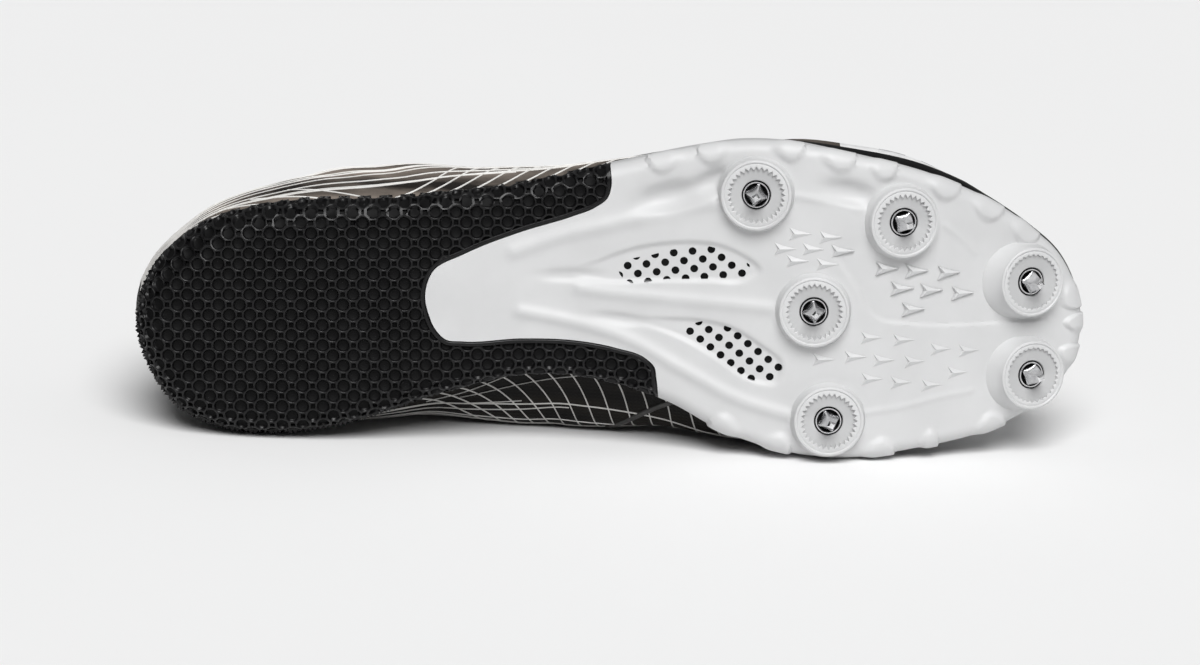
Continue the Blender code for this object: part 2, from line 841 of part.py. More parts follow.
def make_laces(upper, tongue, group, finish):
    route = lace_route(upper, tongue)
    curve = bpy.data.curves.new("laces", "CURVE")
    curve.dimensions = "3D"
    curve.bevel_depth = LACE_RADIUS
    curve.bevel_resolution = 1
    curve.use_fill_caps = True
    spline = curve.splines.new("POLY")
    spline.points.add(len(route) - 1)
    for point, place in zip(spline.points, route):
        point.co = (*place, 1)
    laces = bpy.data.objects.new("laces", curve)
    group.objects.link(laces)
    curve.materials.append(finish)


def hull_faces(objects):
    """The convex hull of the objects as evaluated, as a mesh to read."""
    graph = bpy.context.evaluated_depsgraph_get()
    bm = bmesh.new()
    for obj in objects:
        evaluated = obj.evaluated_get(graph)
        mesh = evaluated.to_mesh()
        for vertex in mesh.vertices:
            bm.verts.new(evaluated.matrix_world @ vertex.co)
        evaluated.to_mesh_clear()
    made = bmesh.ops.convex_hull(bm, input=bm.verts, use_existing_faces=False)
    faces = [item for item in made["geom"] if isinstance(item, bmesh.types.BMFace)]
    found = [[vertex.co.copy() for vertex in face.verts] for face in faces]
    points = [vertex.co.copy() for vertex in bm.verts]
    bm.free()
    return found, points


def resting_face(objects):
    """The hull's face on the medial side that lies under the shoe's balance point."""
    balance = Vector((BALANCE_X * SHOE_LENGTH, 0, BALANCE_HEIGHT))
    best = None
    for corners in hull_faces(objects)[0]:
        normal = (corners[1] - corners[0]).cross(corners[2] - corners[0])
        if normal.length < 1e-12:
            continue
        normal.normalize()
        if normal.dot(corners[0] - balance) < 0:
            normal.negate()
        if normal.y < 0.8:
            continue
        foot = balance + normal * normal.dot(corners[0] - balance)
        sides = [side_of(corners[i], corners[(i + 1) % 3], foot, normal) for i in range(3)]
        score = max(min(sides), -max(sides))
        if best is None or score > best[0]:
            best = (score, normal)
    return best[1]


def side_of(start, end, point, normal):
    """How far the point lies to one side of the line, in the plane of the normal."""
    return (end - start).normalized().cross(point - start).dot(normal)


def lay_down(objects, cutters):
    """Parents the shoe to an empty that lays it on its medial side, centred on the origin."""
    down = resting_face(objects)
    along = (Vector((1, 0, 0)) - down * down.x).normalized()
    across = (-down).cross(along)
    turn = Matrix((along, across, -down)).to_4x4()
    points = [turn @ point for point in hull_faces(objects)[1]]
    low = [min(point[k] for point in points) for k in range(3)]
    high = [max(point[k] for point in points) for k in range(3)]
    move = Vector((-(low[0] + high[0]) / 2, -(low[1] + high[1]) / 2, -low[2]))
    lying = bpy.data.objects.new("lying", None)
    objects[0].users_collection[0].objects.link(lying)
    lying.matrix_world = Matrix.Translation(move) @ turn
    for obj in [*objects, *cutters]:
        obj.parent = lying


def main():
    clear_scene()
    shoe = collection("track_spike_shoe")
    helpers = collection("cutters")
    fabric = material("upper_fabric", (0.06, 0.05, 0.045), 0.7)
    plate_white = material("plate_white", (0.78, 0.79, 0.80), 0.35)
    rubber = material("outsole_rubber", (0.02, 0.02, 0.022), 0.75)
    steel = material("spike_steel", (0.55, 0.55, 0.56), 0.3, 1.0)
    lining = material("lining_fabric", (0.10, 0.10, 0.10), 0.9)
    lace = material("lace_cord", (0.75, 0.75, 0.75), 0.8)
    make_plate(shoe, helpers, plate_white)
    make_heel(shoe, helpers, rubber)
    make_sockets(shoe, steel)
    make_spikes(shoe, steel)
    upper = make_upper(shoe, fabric)
    make_insole(shoe, lining)
    tongue = make_tongue(upper, shoe, fabric)
    make_laces(upper, tongue, shoe, lace)
    bpy.context.view_layer.update()
    lay_down(list(shoe.objects), list(helpers.objects))


main()
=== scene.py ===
"""The looks of a right track spike shoe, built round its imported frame.

Every piece is modelled on the shoe's last, as its solids are: +X runs from heel to toe, +Y to the
medial side and +Z up from the ground, with the back of the sole at x = 0. Each is then laid on its
side with the shoe. Sizes are in metres, and tables on the sole are in millimetres where they say so.
"""

import json
import math

import bmesh
import bpy
import numpy as np
from mathutils import Matrix, Vector
from mathutils.bvhtree import BVHTree


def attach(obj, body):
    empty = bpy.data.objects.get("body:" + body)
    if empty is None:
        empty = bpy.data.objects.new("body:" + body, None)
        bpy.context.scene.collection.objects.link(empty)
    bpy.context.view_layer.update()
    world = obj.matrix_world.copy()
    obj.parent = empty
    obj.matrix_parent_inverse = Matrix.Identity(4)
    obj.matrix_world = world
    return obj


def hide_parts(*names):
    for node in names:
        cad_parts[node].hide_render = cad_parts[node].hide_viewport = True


MM = 0.001

# Sizes that the solids share
SHOE_LENGTH = 0.291
BALL_WIDTH = 0.0975
INSTEP_HEIGHT = 0.080
HEEL_HEIGHT = 0.068
TOE_SPRING = 0.0255
HEEL_STACK = 0.0148
EDGE_RADIUS = 0.0110
WALL = 0.0016
COLLAR_WALL = 0.0040
COLLAR_REACH = 0.33
PAD_START = 0.55
GAP = 0.0003
FEATHER_INSET = 0.0012
ANKLE_X = 0.145
CUT_MARGIN = 0.03
SLOPE_STEP = 0.002
INSOLE_THICKNESS = 0.0026
TONGUE_THICKNESS = 0.0030
TONGUE_CLEARANCE = 0.0006
TONGUE_FIT = 0.0025
LACE_BARS = 6
LACE_FIRST = 0.605
LACE_LAST = 0.365
MOUNT_ON_LAST = (0.040, 0.0, 0.0)

# Spike seats
BOSS_FLARE_RADIUS = 0.0124
BOSS_LIP_RADIUS = 0.0104
BOSS_MOUTH_RADIUS = 0.0088
BOSS_DISH = 0.0014
BOSS_TEETH = 32
TOE_SEAT_RAMP = 0.0036
SOCKET_RADIUS = 0.0043
SPIKE_LENGTH = 0.0066
SPIKE_TIP = 0.0019
SPIKE_BASE = 0.0050

# The heel's tread, in millimetres
CELL = 3.13
PIT_DEPTH = 1.0
SQUARE_DEPTH = 0.9
# Radius and height of each ring of a round pit, from its floor to the land
PIT_RINGS = (
    (1.46, -PIT_DEPTH), (1.66, -PIT_DEPTH + 0.12), (1.80, -0.28), (1.91, -0.05), (1.99, 0.05), (2.09, 0.09),
)
# Cosine and sine of the four quarter turns
QUARTER_TURNS = ((1, 0), (0, 1), (-1, 0), (0, -1))
TREAD_BACK = 1.6
RIM_WIDTH = 1.15
# The rim's section: distance from the plate and height
RIM_SECTION = (
    (0.3, -1.6), (0.3, -0.15), (0.42, 0.0), (0.62, 0.06), (1.2, 0.06), (1.42, 0.0), (1.52, -0.2), (1.52, -1.6),
)
KNOB_HEIGHT = 0.85
TURN_STRETCH = 1.9

# The camera on the last: what it looks at, how far off, how high, and the lens
AIM = (0.142, 0.0, 0.0)
CAMERA_DISTANCE = 1.3
CAMERA_ELEVATION = 10.0
AIM_DROP = 0.0044
LENS = 128.7

# The studio's light
SUN_POWER = 3.35
SUN_ELEVATION = 50
SUN_SWING = 6
SUN_SOFTNESS = 40
FILL_POWER = 1.0
WORLD_STRENGTH = 0.25

# The floor's half width
FLOOR_REACH = 4.0

# The upper's two sides blend between these heights, in streaks of this stretch; the lateral side lies on top,
# and its lighter colour is painted light
PAINTED_LIGHT_HEIGHTS = (0.045, 0.070)
STREAKS = (24.0, 70.0, 190.0)
WEAVE_SCALE = 0.159

# Steps round each side of the upper and up its wall
STATIONS = 120
WALL_ROWS = 72

# Columns: x as a share of the length and y as a share of the ball's width
SOLE_OUTLINE = (
    (0.000, 0.030), (0.016, -0.135), (0.043, -0.222), (0.083, -0.297), (0.148, -0.346),
    (0.282, -0.370), (0.405, -0.412), (0.495, -0.471), (0.598, -0.537), (0.632, -0.552),
    (0.680, -0.549), (0.742, -0.513), (0.845, -0.423), (0.904, -0.333), (0.945, -0.246),
    (0.976, -0.154), (0.994, -0.041), (1.000, 0.070), (0.988, 0.205), (0.965, 0.290),
    (0.921, 0.365), (0.820, 0.431), (0.727, 0.450), (0.667, 0.419), (0.617, 0.368), (0.560, 0.277),
    (0.485, 0.207), (0.440, 0.190), (0.395, 0.197), (0.327, 0.247), (0.211, 0.356), (0.150, 0.380),
    (0.092, 0.367), (0.040, 0.292), (0.012, 0.170),
)

# Columns: x, ground clearance, thickness and edge rounding, as shares of the sizes above
SOLE_PROFILE = (
    (0.00, 0.020, 0.990, 0.95),
    (0.06, 0.000, 1.000, 0.90),
    (0.12, 0.000, 0.990, 0.78),
    (0.21, 0.000, 0.930, 0.64),
    (0.31, 0.040, 0.760, 0.52),
    (0.41, 0.100, 0.620, 0.46),
    (0.52, 0.095, 0.540, 0.42),
    (0.62, 0.025, 0.500, 0.38),
    (0.69, 0.000, 0.480, 0.36),
    (0.75, 0.050, 0.460, 0.36),
    (0.81, 0.185, 0.440, 0.36),
    (0.87, 0.400, 0.420, 0.36),
    (0.93, 0.680, 0.400, 0.36),
    (1.00, 1.000, 0.380, 0.34),
)

# The upper's radial sections. They follow the solids' ones, except that on the lateral side the bulge
# meets the photograph's outline. Columns: side, place on the outline, bulge and its height, then the
# shoulder and the rim as x, y and z, all as shares of the sizes above
UPPER_SECTIONS = (
    ("heel", 0.000, 0.018, 0.160, 0.008, 0.020, 0.600, 0.020, 0.015, 0.850),
    ("lateral", 0.040, 0.007, 0.160, 0.034, -0.190, 0.570, 0.044, -0.160, 0.800),
    ("lateral", 0.140, 0.033, 0.170, 0.140, -0.350, 0.450, 0.145, -0.290, 0.640),
    ("lateral", 0.270, 0.068, 0.220, 0.270, -0.385, 0.570, 0.272, -0.290, 0.720),
    ("lateral", 0.360, 0.032, 0.220, 0.355, -0.345, 0.730, 0.345, -0.140, 0.970),
    ("lateral", 0.465, -0.005, 0.190, 0.460, -0.350, 0.660, 0.462, -0.130, 0.850),
    ("lateral", 0.570, -0.027, 0.170, 0.565, -0.390, 0.560, 0.565, -0.110, 0.735),
    ("lateral", 0.655, -0.026, 0.154, 0.640, -0.386, 0.523, 0.608, -0.095, 0.688),
    ("lateral", 0.725, 0.004, 0.140, 0.705, -0.380, 0.490, 0.645, -0.080, 0.640),
    ("lateral", 0.805, 0.017, 0.130, 0.778, -0.325, 0.508, 0.655, -0.058, 0.628),
    ("lateral", 0.875, 0.000, 0.120, 0.840, -0.260, 0.530, 0.662, -0.040, 0.620),
    ("toe", 1.000, 0.006, 0.110, 0.935, 0.040, 0.610, 0.668, 0.000, 0.615),
    ("medial", 0.930, -0.004, 0.120, 0.880, 0.250, 0.560, 0.662, 0.040, 0.620),
    ("medial", 0.775, -0.022, 0.130, 0.745, 0.330, 0.510, 0.645, 0.080, 0.640),
    ("medial", 0.620, 0.043, 0.140, 0.605, 0.350, 0.565, 0.565, 0.110, 0.735),
    ("medial", 0.510, 0.166, 0.160, 0.500, 0.345, 0.650, 0.462, 0.130, 0.850),
    ("medial", 0.395, 0.189, 0.200, 0.385, 0.340, 0.710, 0.345, 0.150, 0.970),
    ("medial", 0.275, 0.070, 0.200, 0.275, 0.350, 0.540, 0.272, 0.290, 0.730),
    ("medial", 0.145, -0.022, 0.165, 0.145, 0.335, 0.450, 0.145, 0.290, 0.650),
    ("medial", 0.040, 0.000, 0.160, 0.036, 0.210, 0.570, 0.044, 0.175, 0.800),
)

# The line between plate and rubber, lateral end first
PLATE_BOUNDARY = (
    (0.498, -0.620), (0.499, -0.470), (0.500, -0.410), (0.496, -0.372), (0.483, -0.342),
    (0.460, -0.315), (0.406, -0.266), (0.347, -0.198), (0.314, -0.143), (0.306, -0.070),
    (0.310, -0.005), (0.316, 0.036), (0.327, 0.070), (0.345, 0.077), (0.406, 0.069), (0.460, 0.075),
    (0.506, 0.100), (0.535, 0.130), (0.545, 0.160), (0.547, 0.195), (0.549, 0.420),
)

WINDOWS = {
    "lateral": (
        (0.463, -0.140), (0.487, -0.170), (0.519, -0.206), (0.552, -0.225), (0.583, -0.231),
        (0.612, -0.222), (0.634, -0.195), (0.652, -0.148), (0.640, -0.124), (0.600, -0.121),
        (0.545, -0.119), (0.488, -0.118),
    ),
    "medial": (
        (0.520, 0.007), (0.555, 0.010), (0.590, 0.014), (0.621, 0.033), (0.654, 0.089),
        (0.676, 0.150), (0.670, 0.200), (0.654, 0.200), (0.638, 0.181), (0.606, 0.115),
        (0.574, 0.062), (0.531, 0.017),
    ),
}

# Columns: x and y as shares, height of the lip over the plate, turn of the spike in degrees
SPIKE_SEATS = (
    (0.650, -0.389, 0.0036, 32),
    (0.802, -0.297, 0.0036, 12),
    (0.710, -0.023, 0.0036, 50),
    (0.937, -0.089, 0.0050, 38),
    (0.939, 0.208, 0.0050, 20),
    (0.726, 0.323, 0.0036, 65),
)

# Columns: x, height of the middle, drop at the sides and half width, as shares
TONGUE_SECTIONS = (
    (0.690, 0.560, 0.040, 0.150),
    (0.640, 0.595, 0.050, 0.190),
    (0.565, 0.675, 0.080, 0.225),
    (0.462, 0.785, 0.110, 0.245),
    (0.345, 0.900, 0.110, 0.225),
    (0.300, 1.010, 0.100, 0.190),
)

# Relief of the plate, in millimetres on the last.
# Ribs: height, half width, then the points along the crest
RIBS = (
    (0.95, 2.3, ((116, -20.0), (129.9, -24.7), (145.6, -28.4), (160, -31.9), (175.8, -35.1))),
    (0.80, 2.0, ((136, -8.6), (145.6, -7.3), (160.2, -5.9), (178, -4.4), (193.5, -3.0))),
    (0.95, 2.0, ((118, -1.6), (132, 1.2), (150.5, 6.9), (166.9, 16.0), (184.6, 25.4), (202.9, 31.1))),
    (0.45, 1.2, ((201.1, -37.3), (211, -35.4), (220.6, -33.0))),
    (0.35, 0.9, ((222.2, 29.7), (232.7, 28.5), (248.6, 25.4), (255.8, 24.6))),
    (0.30, 1.0, ((246.9, -27.1), (252, -23.0), (256.4, -18.2))),
)
# Hollows: centre, half length, half width, turn in degrees, depth
HOLLOWS = (
    (163.0, -36.6, 9.0, 4.2, -14, 3.4),
    (177.0, -42.0, 6.5, 3.2, -20, 2.4),
    (217.0, -38.0, 8.0, 3.6, 12, 2.6),
    (236.0, -36.5, 8.0, 3.6, 30, 1.2),
    (133.0, -12.6, 9.0, 1.9, 0, 0.9),
    (148.5, 0.8, 8.0, 1.7, 8, 0.9),
)
# The step between the plate's front panel and the rest
STEP_HEIGHT = 0.75
STEP_LINE = ((213, -19.0), (215.9, -14.7), (220.6, -7.8), (223.7, -1.9), (227.8, 1.2), (234, 2.3), (282, 4.2))
# Raised lips along the rim, from one end to the other
LIPS = (
    (157.1, -43.2, 169.1, -48.1), (171.2, -49.7, 182.7, -52.6), (192.0, -51.9, 203.8, -52.0),
    (205.9, -51.2, 219.9, -48.9), (221.4, -47.7, 232.2, -44.1), (239.9, -42.8, 251.5, -37.2),
    (253.3, -36.0, 264.8, -29.2), (266.4, -28.5, 275.5, -19.8), (285.3, -8.5, 288.1, 1.7),
    (288.4, 3.0, 287.9, 10.0), (288.4, 12.2, 284.6, 20.3), (174.9, 33.1, 185.9, 38.0),
    (188.6, 38.7, 199.6, 42.9), (220.8, 43.3, 232.6, 43.0), (239.1, 41.8, 246.3, 40.8),
    (255.1, 38.4, 267.5, 35.3),
)
LIP_HEIGHT = 1.15
LIP_REACH = 4.3
LIP_SLOPE = 2.2
BALL_LINE = 190
# Small arrowhead nubs
NUBS = (
    (201.8, -25.7), (210.9, -24.6), (197.3, -21.1), (205.8, -21.0), (214.6, -20.3), (201.0, -17.4),
    (210.1, -16.3), (228.5, -14.6), (237.7, -13.5), (247.7, -12.5), (233.2, -8.3), (242.3, -7.3),
    (252.1, -5.9), (236.7, -1.7), (223.8, 6.5), (233.7, 7.6), (245.3, 11.0), (254.1, 12.0),
    (209.2, 12.9), (218.9, 12.3), (227.6, 13.6), (237.2, 14.4), (250.7, 18.6), (224.1, 19.3),
    (233.1, 20.7), (242.6, 22.0),
)
NUB_POINTS = ((-2.9, 2.3), (-1.7, 0.1), (-3.0, -2.1), (0.2, -1.1), (4.7, 0.0), (0.2, 1.1))
NUB_HEIGHT = 0.75
# How far the plate's skin sinks under each spike seat
SEAT_DEPTH = 3.6

# The windows' holes lie on a lattice: first hole and the two steps, in millimetres
HOLE_RADIUS = 1.2
HOLE_STEPS = ((5.68, -0.56), (3.10, 2.40))
HOLE_START = {"lateral": (150.4, -15.5), "medial": (169.35, 4.5)}
WINDOW_DEPTH = 1.0
# Along each window the floor sinks from the first of these places to the second
WINDOW_RAMP = {"lateral": (131.0, 149.0), "medial": (150.0, 168.0)}
# The pierced part of each window's floor
HOLE_FIELDS = {
    "lateral": (
        (147.7, -13.7), (149.4, -16.4), (157.7, -18.9), (163.3, -20.4), (169.7, -21.8),
        (176.7, -21.3), (180.4, -19.6), (183.2, -17.5), (187.3, -16.1), (186.2, -12.6),
        (179.0, -11.9), (162.4, -11.5), (148.9, -11.6),
    ),
    "medial": (
        (168.4, 3.8), (170.7, 1.9), (181.6, 3.2), (185.3, 4.9), (190.0, 8.9), (194.6, 12.2),
        (197.5, 14.8), (197.0, 16.9), (194.7, 19.7), (192.4, 20.0), (187.7, 19.3), (180.2, 14.1),
        (174.2, 10.4), (170.5, 7.6), (168.1, 5.7),
    ),
}

# Creases in the upper: side, x at each end as a share of the length, height at each end as a share of the wall,
# half width in stations, depth in millimetres
CREASES = (
    ("lateral", 0.66, 0.70, 0.30, 0.95, 2.2, 0.55),
    ("lateral", 0.72, 0.76, 0.35, 0.90, 2.4, 0.45),
    ("medial", 0.66, 0.70, 0.30, 0.95, 2.2, 0.55),
    ("medial", 0.72, 0.76, 0.35, 0.90, 2.4, 0.40),
    ("lateral", 0.30, 0.20, 0.12, 0.80, 1.8, 0.50),
    ("lateral", 0.38, 0.33, 0.20, 0.75, 1.7, 0.40),
    ("lateral", 0.24, 0.12, 0.20, 0.70, 1.6, 0.40),
    ("medial", 0.32, 0.22, 0.10, 0.70, 1.8, 0.45),
    ("medial", 0.45, 0.40, 0.10, 0.60, 1.7, 0.35),
    ("medial", 0.20, 0.12, 0.20, 0.75, 1.6, 0.35),
)
# Where the light toe panel starts on the lateral and the medial side
TOE_PANEL = (0.735, 0.70)
# How far the rand stands out, in millimetres
RAND_REACH = (
    (("lateral", 0.60), 0.15),
    (("lateral", 0.68), 0.30),
    (("lateral", 0.72), 0.75),
    (("lateral", 0.785), 0.95),
    (("lateral", 0.845), 1.20),
    (("lateral", 0.870), 1.25),
    (("lateral", 0.892), 0.75),
    (("lateral", 0.925), 0.35),
    (("toe", 1.0), 0.30),
    (("medial", 0.90), 0.30),
    (("medial", 0.66), 0.25),
)
# Lines that rise from the edge on both sides
OBLIQUE_LINES = 16
OBLIQUE_FIRST = 0.27
OBLIQUE_STEP = 0.0255
# Flow lines round the heel: height at the heel, rise towards the front, reach, width in millimetres
FLOW_LINES = (
    (0.098, 0.075, 0.64, 0.62),
    (0.128, 0.020, 0.40, 0.28),
    (0.160, 0.040, 0.46, 0.40),
    (0.192, 0.085, 0.52, 0.26),
    (0.228, 0.100, 0.58, 0.44),
    (0.268, 0.060, 0.44, 0.28),
    (0.330, 0.110, 0.56, 0.45),
    (0.410, 0.060, 0.40, 0.24),
    (0.500, 0.100, 0.50, 0.34),
    (0.590, 0.050, 0.38, 0.24),
)
# Lines that branch off the edge: side, x at each end, height at each end, width in millimetres
BRANCH_LINES = (
    ("lateral", 0.105, 0.055, 0.004, 0.090, 0.50),
    ("lateral", 0.150, 0.085, 0.004, 0.120, 0.50),
    ("lateral", 0.200, 0.120, 0.004, 0.150, 0.60),
    ("lateral", 0.245, 0.160, 0.004, 0.180, 0.50),
    ("medial", 0.405, 0.300, 0.004, 0.120, 0.24),
    ("medial", 0.465, 0.335, 0.030, 0.115, 0.24),
)
# Seam strips: side, x at each end, height at each end
SEAMS = (
    ("medial", 0.495, 0.565, 0.42, 0.03), ("lateral", 0.500, 0.560, 0.42, 0.12),
)
# The throat's stay, stitches, laces and eyelets
THROAT_BACK = 0.33
STAY_LOW = 0.80
STITCH = 0.0019
STITCH_GAP = 0.0009
LACE_THICK = 0.0011
EYELET_INSET = 0.0052
EYELET_RADIUS = 0.0021
RIPPLE = 0.00018
# How deep strips on the upper sink into it
SINK = 0.0003


def interpolate(knots, values, at):
    """A smooth curve through the values, with tangents from their neighbours."""
    knots = np.asarray(knots, float)
    values = np.asarray(values, float)
    slopes = np.gradient(values, knots, axis=0)
    at = np.clip(np.asarray(at, float), knots[0], knots[-1])
    i = np.clip(np.searchsorted(knots, at, side="right") - 1, 0, len(knots) - 2)
    width = knots[i + 1] - knots[i]
    t = (at - knots[i]) / width
    if values.ndim > 1:
        t = t[..., None]
        width = width[..., None]
    start = (2 * t**3 - 3 * t**2 + 1) * values[i] + (t**3 - 2 * t**2 + t) * width * slopes[i]
    end = (3 * t**2 - 2 * t**3) * values[i + 1] + (t**3 - t**2) * width * slopes[i + 1]
    return start + end


def interpolate_loop(knots, values, period, at):
    """The same through values that repeat after one period."""
    knots = np.asarray(knots, float)
    values = np.asarray(values, float)
    around = np.concatenate([knots - period, knots, knots + period])
    return interpolate(around, np.concatenate([values] * 3), np.asarray(at, float) % period)


def run_along(points):
    """The distance from the first point to each one, along the line through them."""
    return np.concatenate([[0.0], np.cumsum(np.linalg.norm(np.diff(points, axis=0), axis=1))])


def unit(vectors):
    return vectors / np.maximum(np.linalg.norm(vectors, axis=-1, keepdims=True), 1e-12)


def spread(knots, steps):
    """Values that part each span between knots into equal steps, without the last knot."""
    spans = zip(knots, knots[1:])
    return np.concatenate([np.linspace(low, high, steps, endpoint=False) for low, high in spans])


def along_curve(points, steps=16):
    """Points along a smooth open curve through the given ones."""
    points = np.asarray(points, float)
    knots = run_along(points)
    return interpolate(knots, points, np.append(spread(knots, steps), knots[-1]))


def rounded_loop(points, steps=24):
    """Points along a smooth closed curve through the given ones."""
    points = np.asarray(points, float)
    knots = run_along(np.concatenate([points, points[:1]]))
    return interpolate_loop(knots[:-1], points, knots[-1], spread(knots, steps))


def smooth(value, low, high):
    """0 below low, 1 above high, and a smooth rise between them."""
    t = np.clip((value - low) / (high - low), 0, 1)
    return t * t * (3 - 2 * t)


def plan(shares):
    """A table of plan shares in metres."""
    return np.array([(x * SHOE_LENGTH, y * BALL_WIDTH) for x, y in shares])


OUTLINE = rounded_loop(plan(SOLE_OUTLINE), steps=48)


def inward_normals(ring):
    along = unit(np.roll(ring, -1, axis=0) - np.roll(ring, 1, axis=0))
    return np.stack([-along[:, 1], along[:, 0]], axis=1)


OUTLINE_INWARD = inward_normals(OUTLINE)
OUTLINE_LENGTH = run_along(OUTLINE)


def sides_of(loop):
    """The lateral and the medial edge of a loop, each from heel to toe."""
    loop = np.roll(loop, -int(loop[:, 0].argmin()), axis=0)
    toe = int(loop[:, 0].argmax())
    medial = np.concatenate([loop[toe:], loop[:1]])[::-1]
    return loop[: toe + 1], medial


LATERAL_EDGE, MEDIAL_EDGE = sides_of(OUTLINE)
HEEL_X = OUTLINE[:, 0].min()
TOE_X = OUTLINE[:, 0].max()


def sole_profile(x):
    """Bottom height, top height and edge rounding of the sole at x."""
    table = np.array(SOLE_PROFILE)
    values = interpolate(table[:, 0] * SHOE_LENGTH, table[:, 1:], x)
    bottom = np.maximum(values[..., 0], 0) * TOE_SPRING
    return bottom, bottom + values[..., 1] * HEEL_STACK, values[..., 2] * EDGE_RADIUS


def nearest_edge(points):
    """For each plan point, its distance inside the outline and the nearest outline index."""
    index = np.concatenate(
        [
            ((part[:, None] - OUTLINE[None]) ** 2).sum(axis=2).argmin(axis=1)
            for part in np.array_split(points, max(1, len(points) // 2000))
        ]
    )
    inside = ((points - OUTLINE[index]) * OUTLINE_INWARD[index]).sum(axis=1)
    return inside, index


def unrolled_edge():
    """The outline after the sole's rounded edge and side wall are unrolled flat."""
    bottom, top, radius = sole_profile(OUTLINE[:, 0])
    spread = radius * (math.pi / 2 - 1) + (top - bottom - radius)
    return OUTLINE - OUTLINE_INWARD * spread[:, None]


def rolled(flat, lift):
    """Points of the unrolled sole, lifted out of its surface, as points on the real one."""
    inside, index = nearest_edge(flat)
    inward = OUTLINE_INWARD[index]
    edge = OUTLINE[index]
    radius = sole_profile(edge[:, 0])[2]
    turn = radius - inside
    angle = np.clip(turn / radius, 0, math.pi / 2)
    climb = radius * (1 - np.cos(angle)) + np.maximum(turn - radius * math.pi / 2, 0)
    inset = radius * (1 - np.sin(angle))
    place = np.where((turn <= 0)[:, None], flat, edge + inward * inset[:, None])
    place = place - inward * (np.sin(angle) * lift)[:, None]
    height = sole_profile(place[:, 0])[0] + climb - np.cos(angle) * lift
    return np.column_stack([place, height])


def bottom_frame(x, y):
    """The frame of the sole's bottom there, with +Z out of the sole."""
    places = (x, x + SLOPE_STEP, x - SLOPE_STEP)
    bottom, ahead, behind = (float(sole_profile(np.array(place))[0]) for place in places)
    slope = (ahead - behind) / (2 * SLOPE_STEP)
    out = Vector((slope, 0, -1)).normalized()
    toe = Vector((1, 0, slope)).normalized()
    made = Matrix((toe, out.cross(toe), out)).transposed().to_4x4()
    made.translation = (x, y, bottom)
    return made


def seat_frame(x, y):
    """The same at a spike seat's shares."""
    return bottom_frame(x * SHOE_LENGTH, y * BALL_WIDTH)


def lying_matrix(mount):
    """The pose of the shoe in the frame, from the record's mount on the heel's tread."""
    axis = Vector(mount["axis"]).normalized()
    lean = axis.x / axis.z
    down_x = lean / math.hypot(1, lean)
    down = Vector((down_x, math.sqrt(1 - down_x**2 - axis.z**2), axis.z))
    along = (Vector((1, 0, 0)) - down * down.x).normalized()
    across = (-down).cross(along)
    turn = Matrix((along, across, -down)).to_4x4()
    return Matrix.Translation(Vector(mount["pos_m"]) - turn @ Vector(MOUNT_ON_LAST)) @ turn


def node(tree, kind, values=(), **settings):
    """A shader node with its inputs set from values: sockets, colours or numbers by input name."""
    made = tree.nodes.new(kind)
    for name, value in settings.items():
        setattr(made, name, value)
    for name, value in dict(values).items():
        if isinstance(value, bpy.types.NodeSocket):
            tree.links.new(value, made.inputs[name])
        else:
            made.inputs[name].default_value = value
    return made


def material(name, colour, roughness, metallic=0.0, specular=0.5):
    made = bpy.data.materials.new(name)
    made.use_nodes = True
    shader = made.node_tree.nodes["Principled BSDF"]
    shader.inputs["Base Color"].default_value = (*colour, 1)
    shader.inputs["Roughness"].default_value = roughness
    shader.inputs["Metallic"].default_value = metallic
    shader.inputs["Specular IOR Level"].default_value = specular
    return made


def place_on(tree, scale):
    """Coordinates in units of 1 / scale metres, the same for every piece."""
    spot = node(tree, "ShaderNodeTexCoord").outputs["Object"]
    return node(tree, "ShaderNodeMapping", {"Vector": spot, "Scale": (scale,) * 3}).outputs["Vector"]


def noise_at(tree, place, detail, scale=1.0):
    return node(tree, "ShaderNodeTexNoise", {"Vector": place, "Scale": scale, "Detail": detail}).outputs["Fac"]


def mapped_range(tree, value, low, high, to_low=0.0, to_high=1.0):
    spans = {"Value": value, "From Min": low, "From Max": high, "To Min": to_low, "To Max": to_high}
    return node(tree, "ShaderNodeMapRange", spans).outputs["Result"]


def colour_ramp(tree, factor, low, dark, high, light):
    """The dark colour up to low, the light one from high, and a blend between them."""
    ramp = node(tree, "ShaderNodeValToRGB", {"Fac": factor})
    for k, (place, colour) in enumerate(((low, dark), (high, light))):
        ramp.color_ramp.elements[k].position = place
        ramp.color_ramp.elements[k].color = (*colour, 1)
    return ramp.outputs["Color"]


def feed(tree, socket, name):
    """Drives an input of the material's shader."""
    tree.links.new(socket, tree.nodes["Principled BSDF"].inputs[name])


def bumped(tree, height, depth):
    bump = node(tree, "ShaderNodeBump", {"Height": height, "Distance": depth, "Strength": 1.0})
    feed(tree, bump.outputs["Normal"], "Normal")


def mottled(made, dark, light, scale):
    """Lets the colour wander between two shades."""
    tree = made.node_tree
    factor = noise_at(tree, place_on(tree, scale), 4.0)
    feed(tree, colour_ramp(tree, factor, 0.35, dark, 0.65, light), "Base Color")


def painted_side_light(made, medial, lateral):
    """A pair of colours for each side of the upper, streaked along the shoe and blended by height; the lateral
    side lies on top, and its lighter pair is painted light and sheen.
    """
    tree = made.node_tree
    spot = node(tree, "ShaderNodeTexCoord").outputs["Object"]
    height = node(tree, "ShaderNodeSeparateXYZ", {"Vector": spot}).outputs["Z"]
    stretched = node(tree, "ShaderNodeMapping", {"Vector": spot, "Scale": STREAKS}).outputs["Vector"]
    noise = noise_at(tree, stretched, 5.0)
    mix = node(tree, "ShaderNodeMix", data_type="RGBA")
    tree.links.new(mapped_range(tree, height, *PAINTED_LIGHT_HEIGHTS), mix.inputs[0])
    for socket, (dark, light) in ((6, medial), (7, lateral)):
        tree.links.new(colour_ramp(tree, noise, 0.40, dark, 0.68, light), mix.inputs[socket])
    feed(tree, mix.outputs[2], "Base Color")


